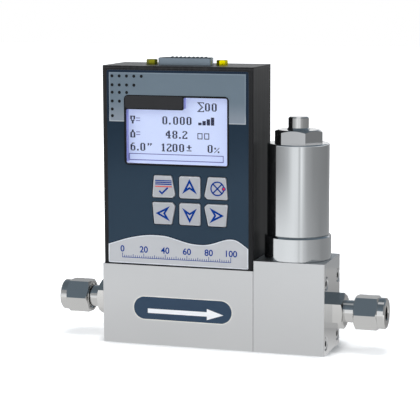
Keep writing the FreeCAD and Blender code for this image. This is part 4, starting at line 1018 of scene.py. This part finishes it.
class METER_OT_spring(bpy.types.Operator):
    """Wind the valve's return spring"""

    bl_idname = "meter.spring"
    bl_label = "Return spring"

    def execute(self, context):
        s = context.scene.meter_spring
        low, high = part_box("return_spring")
        middle = (low + high) / 2
        curve = blank_curve("3D")
        curve.bevel_depth = s.wire
        curve.bevel_resolution = 2
        curve.use_fill_caps = True
        per_turn = 16
        steps = per_turn * s.turns
        coil = curve.splines.new("POLY")
        coil.points.add(steps)
        rise = (high.z - low.z) - 2 * s.wire
        for i, point in enumerate(coil.points):
            a = math.tau * i / per_turn
            point.co = (middle.x + s.radius * math.cos(a), middle.y + s.radius * math.sin(a),
                        low.z + s.wire + rise * i / steps, 1)
        bpy.ops.object.convert(target="MESH")
        spring = settled(bpy.context.object, "valve_return_spring", steel("machined_steel", (190, 190, 188), 0.3))
        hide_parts("return_spring")
        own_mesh(spring)
        return {"FINISHED"}


def steel(name, tint, rough, **more):
    """Stainless steel of one grade of polish."""
    values = {"metallic": 1.0, "drift": (0.015, 0.02), "grain": 0.0003, "spread": 0.06, "relief": 0.000003, **more}
    return finish(name, ink(*tint), rough, **values)


def lit_glass(s):
    """The display's lit field: pale blue, glowing a little by itself, with a painted light along its right side."""
    right = bpy.context.scene.meter_print.window_right

    def wire(tree):
        share = mapped(tree, along(tree, "X"), right - 0.0004, right + 0.0006)
        return mixed(tree, share, (*s.lit, 1), (*s.painted_light_edge, 1))

    material = finish("display_lit", wire, 0.3, drift=(0.015, 0.02), Emission_Strength=0.9, Specular_IOR_Level=0.1)
    shader = material.node_tree.nodes["Principled BSDF"].inputs
    material.node_tree.links.new(shader["Base Color"].links[0].from_socket, shader["Emission Color"])
    return material


class METER_OT_finishes(bpy.types.Operator):
    """Give every CAD part its finish"""

    bl_idname = "meter.finishes"
    bl_label = "Finishes"

    def execute(self, context):
        p, d = context.scene.meter_print, context.scene.meter_display
        # Display frame: pale at its foot, a painted light on the recess's bottom wall, and violet above it, a
        # painted shade inside the recess.
        frame_painted_light_and_shade = upright_ramp(0.083, 0.0838, ink(232, 236, 252), ink(158, 160, 221))
        # Jackscrews: the yellow is their plating; the left one is darker than the right, a painted shade.
        jack_painted_shade = upright_ramp(-0.029, -0.0255, ink(132, 132, 34), ink(228, 217, 0), "X")
        fittings = [end + part for end in ("inlet_", "outlet_")
                    for part in ("fitting_body", "nut", "front_ferrule", "back_ferrule")]
        dressed = {
            # Black anodised case: upright streaks, partly extrusion lines and partly painted sheen, and a painted
            # highlight along its edges.
            finish("anodised_black", streaks_and_sheen(ink(37, 37, 38), ink(46, 46, 47), 0.0016), 0.34, drift=(0.1, 0.02),
                   grain=0.0012, stretch=(1, 1, 0.01), spread=0.22, relief=0.00003, rub=ink(84, 84, 86),
                   Specular_IOR_Level=0.05): ["case_shell", "rear_cover", "top_plate"],
            # Satin steel blocks: a painted highlight along their edges.
            steel("satin_steel", (214, 215, 216), 0.4, spread=0.1, grain=0.00018, relief=0.000006,
                  rub=ink(236, 236, 236), rub_amount=0.7, ends=0.09): ["flow_body", "valve_block", "sensor_base"],
            steel("polished_steel", (214, 214, 213), 0.1, stretch=(1, 0.03, 0.03)): [*fittings, "pole_piece"],
            steel("nut_steel", (194, 195, 196), 0.12): ["valve_nut"],
            steel("turned_can_steel", (212, 214, 215), 0.11, stretch=(0.02, 0.02, 1), grain=0.00025, spread=0.05,
                  relief=0.000002): ["valve_can", "valve_base_ring"],
            steel("machined_steel", (190, 190, 188), 0.3): [
                "laminar_element", "guide_tube", "plunger", "valve_seat", "inlet_screen", "sensor_tube",
                "return_spring"],
            steel("screw_polish", (205, 206, 208), 0.16, grain=0.0002): [
                "block_screws", "body_top_screws", "ring_screws", "rear_cover_screws", "board_screws"],
            finish("rubber_black", ink(28, 28, 30), 0.6, grain=0.0002): [
                "block_seal", "port_seals", "sensor_seals", "valve_seal", "plunger_pad"],
            finish("wire_copper", ink(196, 112, 62), 0.3, metallic=1.0, grain=0.0002, stretch=(0.03, 0.03, 1),
                   relief=0.00005): ["coil_winding", "sensor_windings"],
            finish("sheet_aluminium", ink(196, 198, 200), 0.35, metallic=1.0, stretch=(0.03, 1, 1)): [
                "base_bracket", "sensor_cover"],
            finish("coil_former", ink(38, 40, 44), 0.5): ["coil_bobbin"],
            printed("film_border", p.deep_navy, rough=0.34): ["front_overlay"],
            finish("display_frame_painted_light_and_shade", frame_painted_light_and_shade, 0.45): ["display_frame"],
            lit_glass(d): ["lcd_glass"],
            finish("panel_white", ink(232, 234, 236), 0.5): ["backlight"],
            finish("board_lacquer", ink(24, 88, 52), 0.4, grain=0.0008): ["display_board", "main_board"],
            finish("brass_nickel", ink(196, 184, 150), 0.25, metallic=1.0): ["board_posts"],
            finish("switch_black", ink(34, 34, 36), 0.5): ["key_switches"],
            # Connector shell: a painted highlight along its edges.
            finish("connector_shell_steel", ink(134, 148, 160), 0.32, metallic=0.85, grain=0.0006,
                   rub=ink(160, 174, 186), edge_highlight_width=0.0002): ["connector_shell"],
            finish("insulator_dark", ink(52, 60, 66), 0.5, grain=0.0003): ["connector_insulator"],
            finish("gold_contacts", ink(212, 172, 88), 0.25, metallic=1.0): ["connector_contacts"],
            finish("zinc_yellow_painted_shade", jack_painted_shade, 0.16, metallic=1.0, drift=(0.08, 0.002)): ["jackscrews"],
            # Keys: a painted highlight along their edges, the lighter rim of each key.
            finish("key_paint", ink(172, 173, 177), 0.45, grain=0.0002, rub=ink(200, 201, 206), edge_highlight_width=0.0006,
                   rub_amount=0.9, Specular_IOR_Level=0.25): ["key_" + key for key in KEYS],
            finish("pane_clear", ink(24, 28, 34), 0.08, drift=(0.01, 0.02), spread=0.02, relief=0.000001,
                   Alpha=0.015): ["display_window"],
        }
        for material, names in dressed.items():
            for name in names:
                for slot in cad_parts[name].material_slots:
                    slot.material = material
        return {"FINISHED"}


class METER_PT_panel(bpy.types.Panel):
    """Steps and sizes of the meter's looks"""

    bl_idname = "METER_PT_panel"
    bl_label = "Gas mass flow meter"
    bl_space_type = "VIEW_3D"
    bl_region_type = "UI"
    bl_category = "Meter"

    def draw(self, context):
        layout = self.layout
        for operator in OPERATORS:
            layout.operator(operator.bl_idname)
        for attribute, group in SETTINGS.items():
            box = layout.box()
            box.label(text=group.__doc__)
            for name in group.__annotations__:
                box.prop(getattr(context.scene, attribute), name)


SETTINGS = {
    "meter_print": MeterPrintSettings,
    "meter_display": MeterDisplaySettings,
    "meter_keys": MeterKeySettings,
    "meter_plate": MeterPlateSettings,
    "meter_spring": MeterSpringSettings,
    "meter_studio": MeterStudioSettings,
}
OPERATORS = (
    METER_OT_camera,
    METER_OT_stage,
    METER_OT_finishes,
    METER_OT_front_print,
    METER_OT_display,
    METER_OT_key_signs,
    METER_OT_flow_mark,
    METER_OT_connector_ribs,
    METER_OT_spring,
)


def register():
    for group in SETTINGS.values():
        bpy.utils.register_class(group)
    for attribute, group in SETTINGS.items():
        setattr(bpy.types.Scene, attribute, bpy.props.PointerProperty(type=group))
    for kind in (*OPERATORS, METER_PT_panel):
        bpy.utils.register_class(kind)


def unregister():
    for kind in reversed((*OPERATORS, METER_PT_panel)):
        bpy.utils.unregister_class(kind)
    for attribute, group in SETTINGS.items():
        delattr(bpy.types.Scene, attribute)
        bpy.utils.unregister_class(group)


def main():
    register()
    bpy.ops.meter.camera()
    bpy.ops.meter.stage()
    bpy.ops.meter.finishes()
    bpy.ops.meter.front_print()
    bpy.ops.meter.display()
    bpy.ops.meter.key_signs()
    bpy.ops.meter.flow_mark()
    bpy.ops.meter.connector_ribs()
    bpy.ops.meter.spring()


if __name__ == "__main__":
    main()
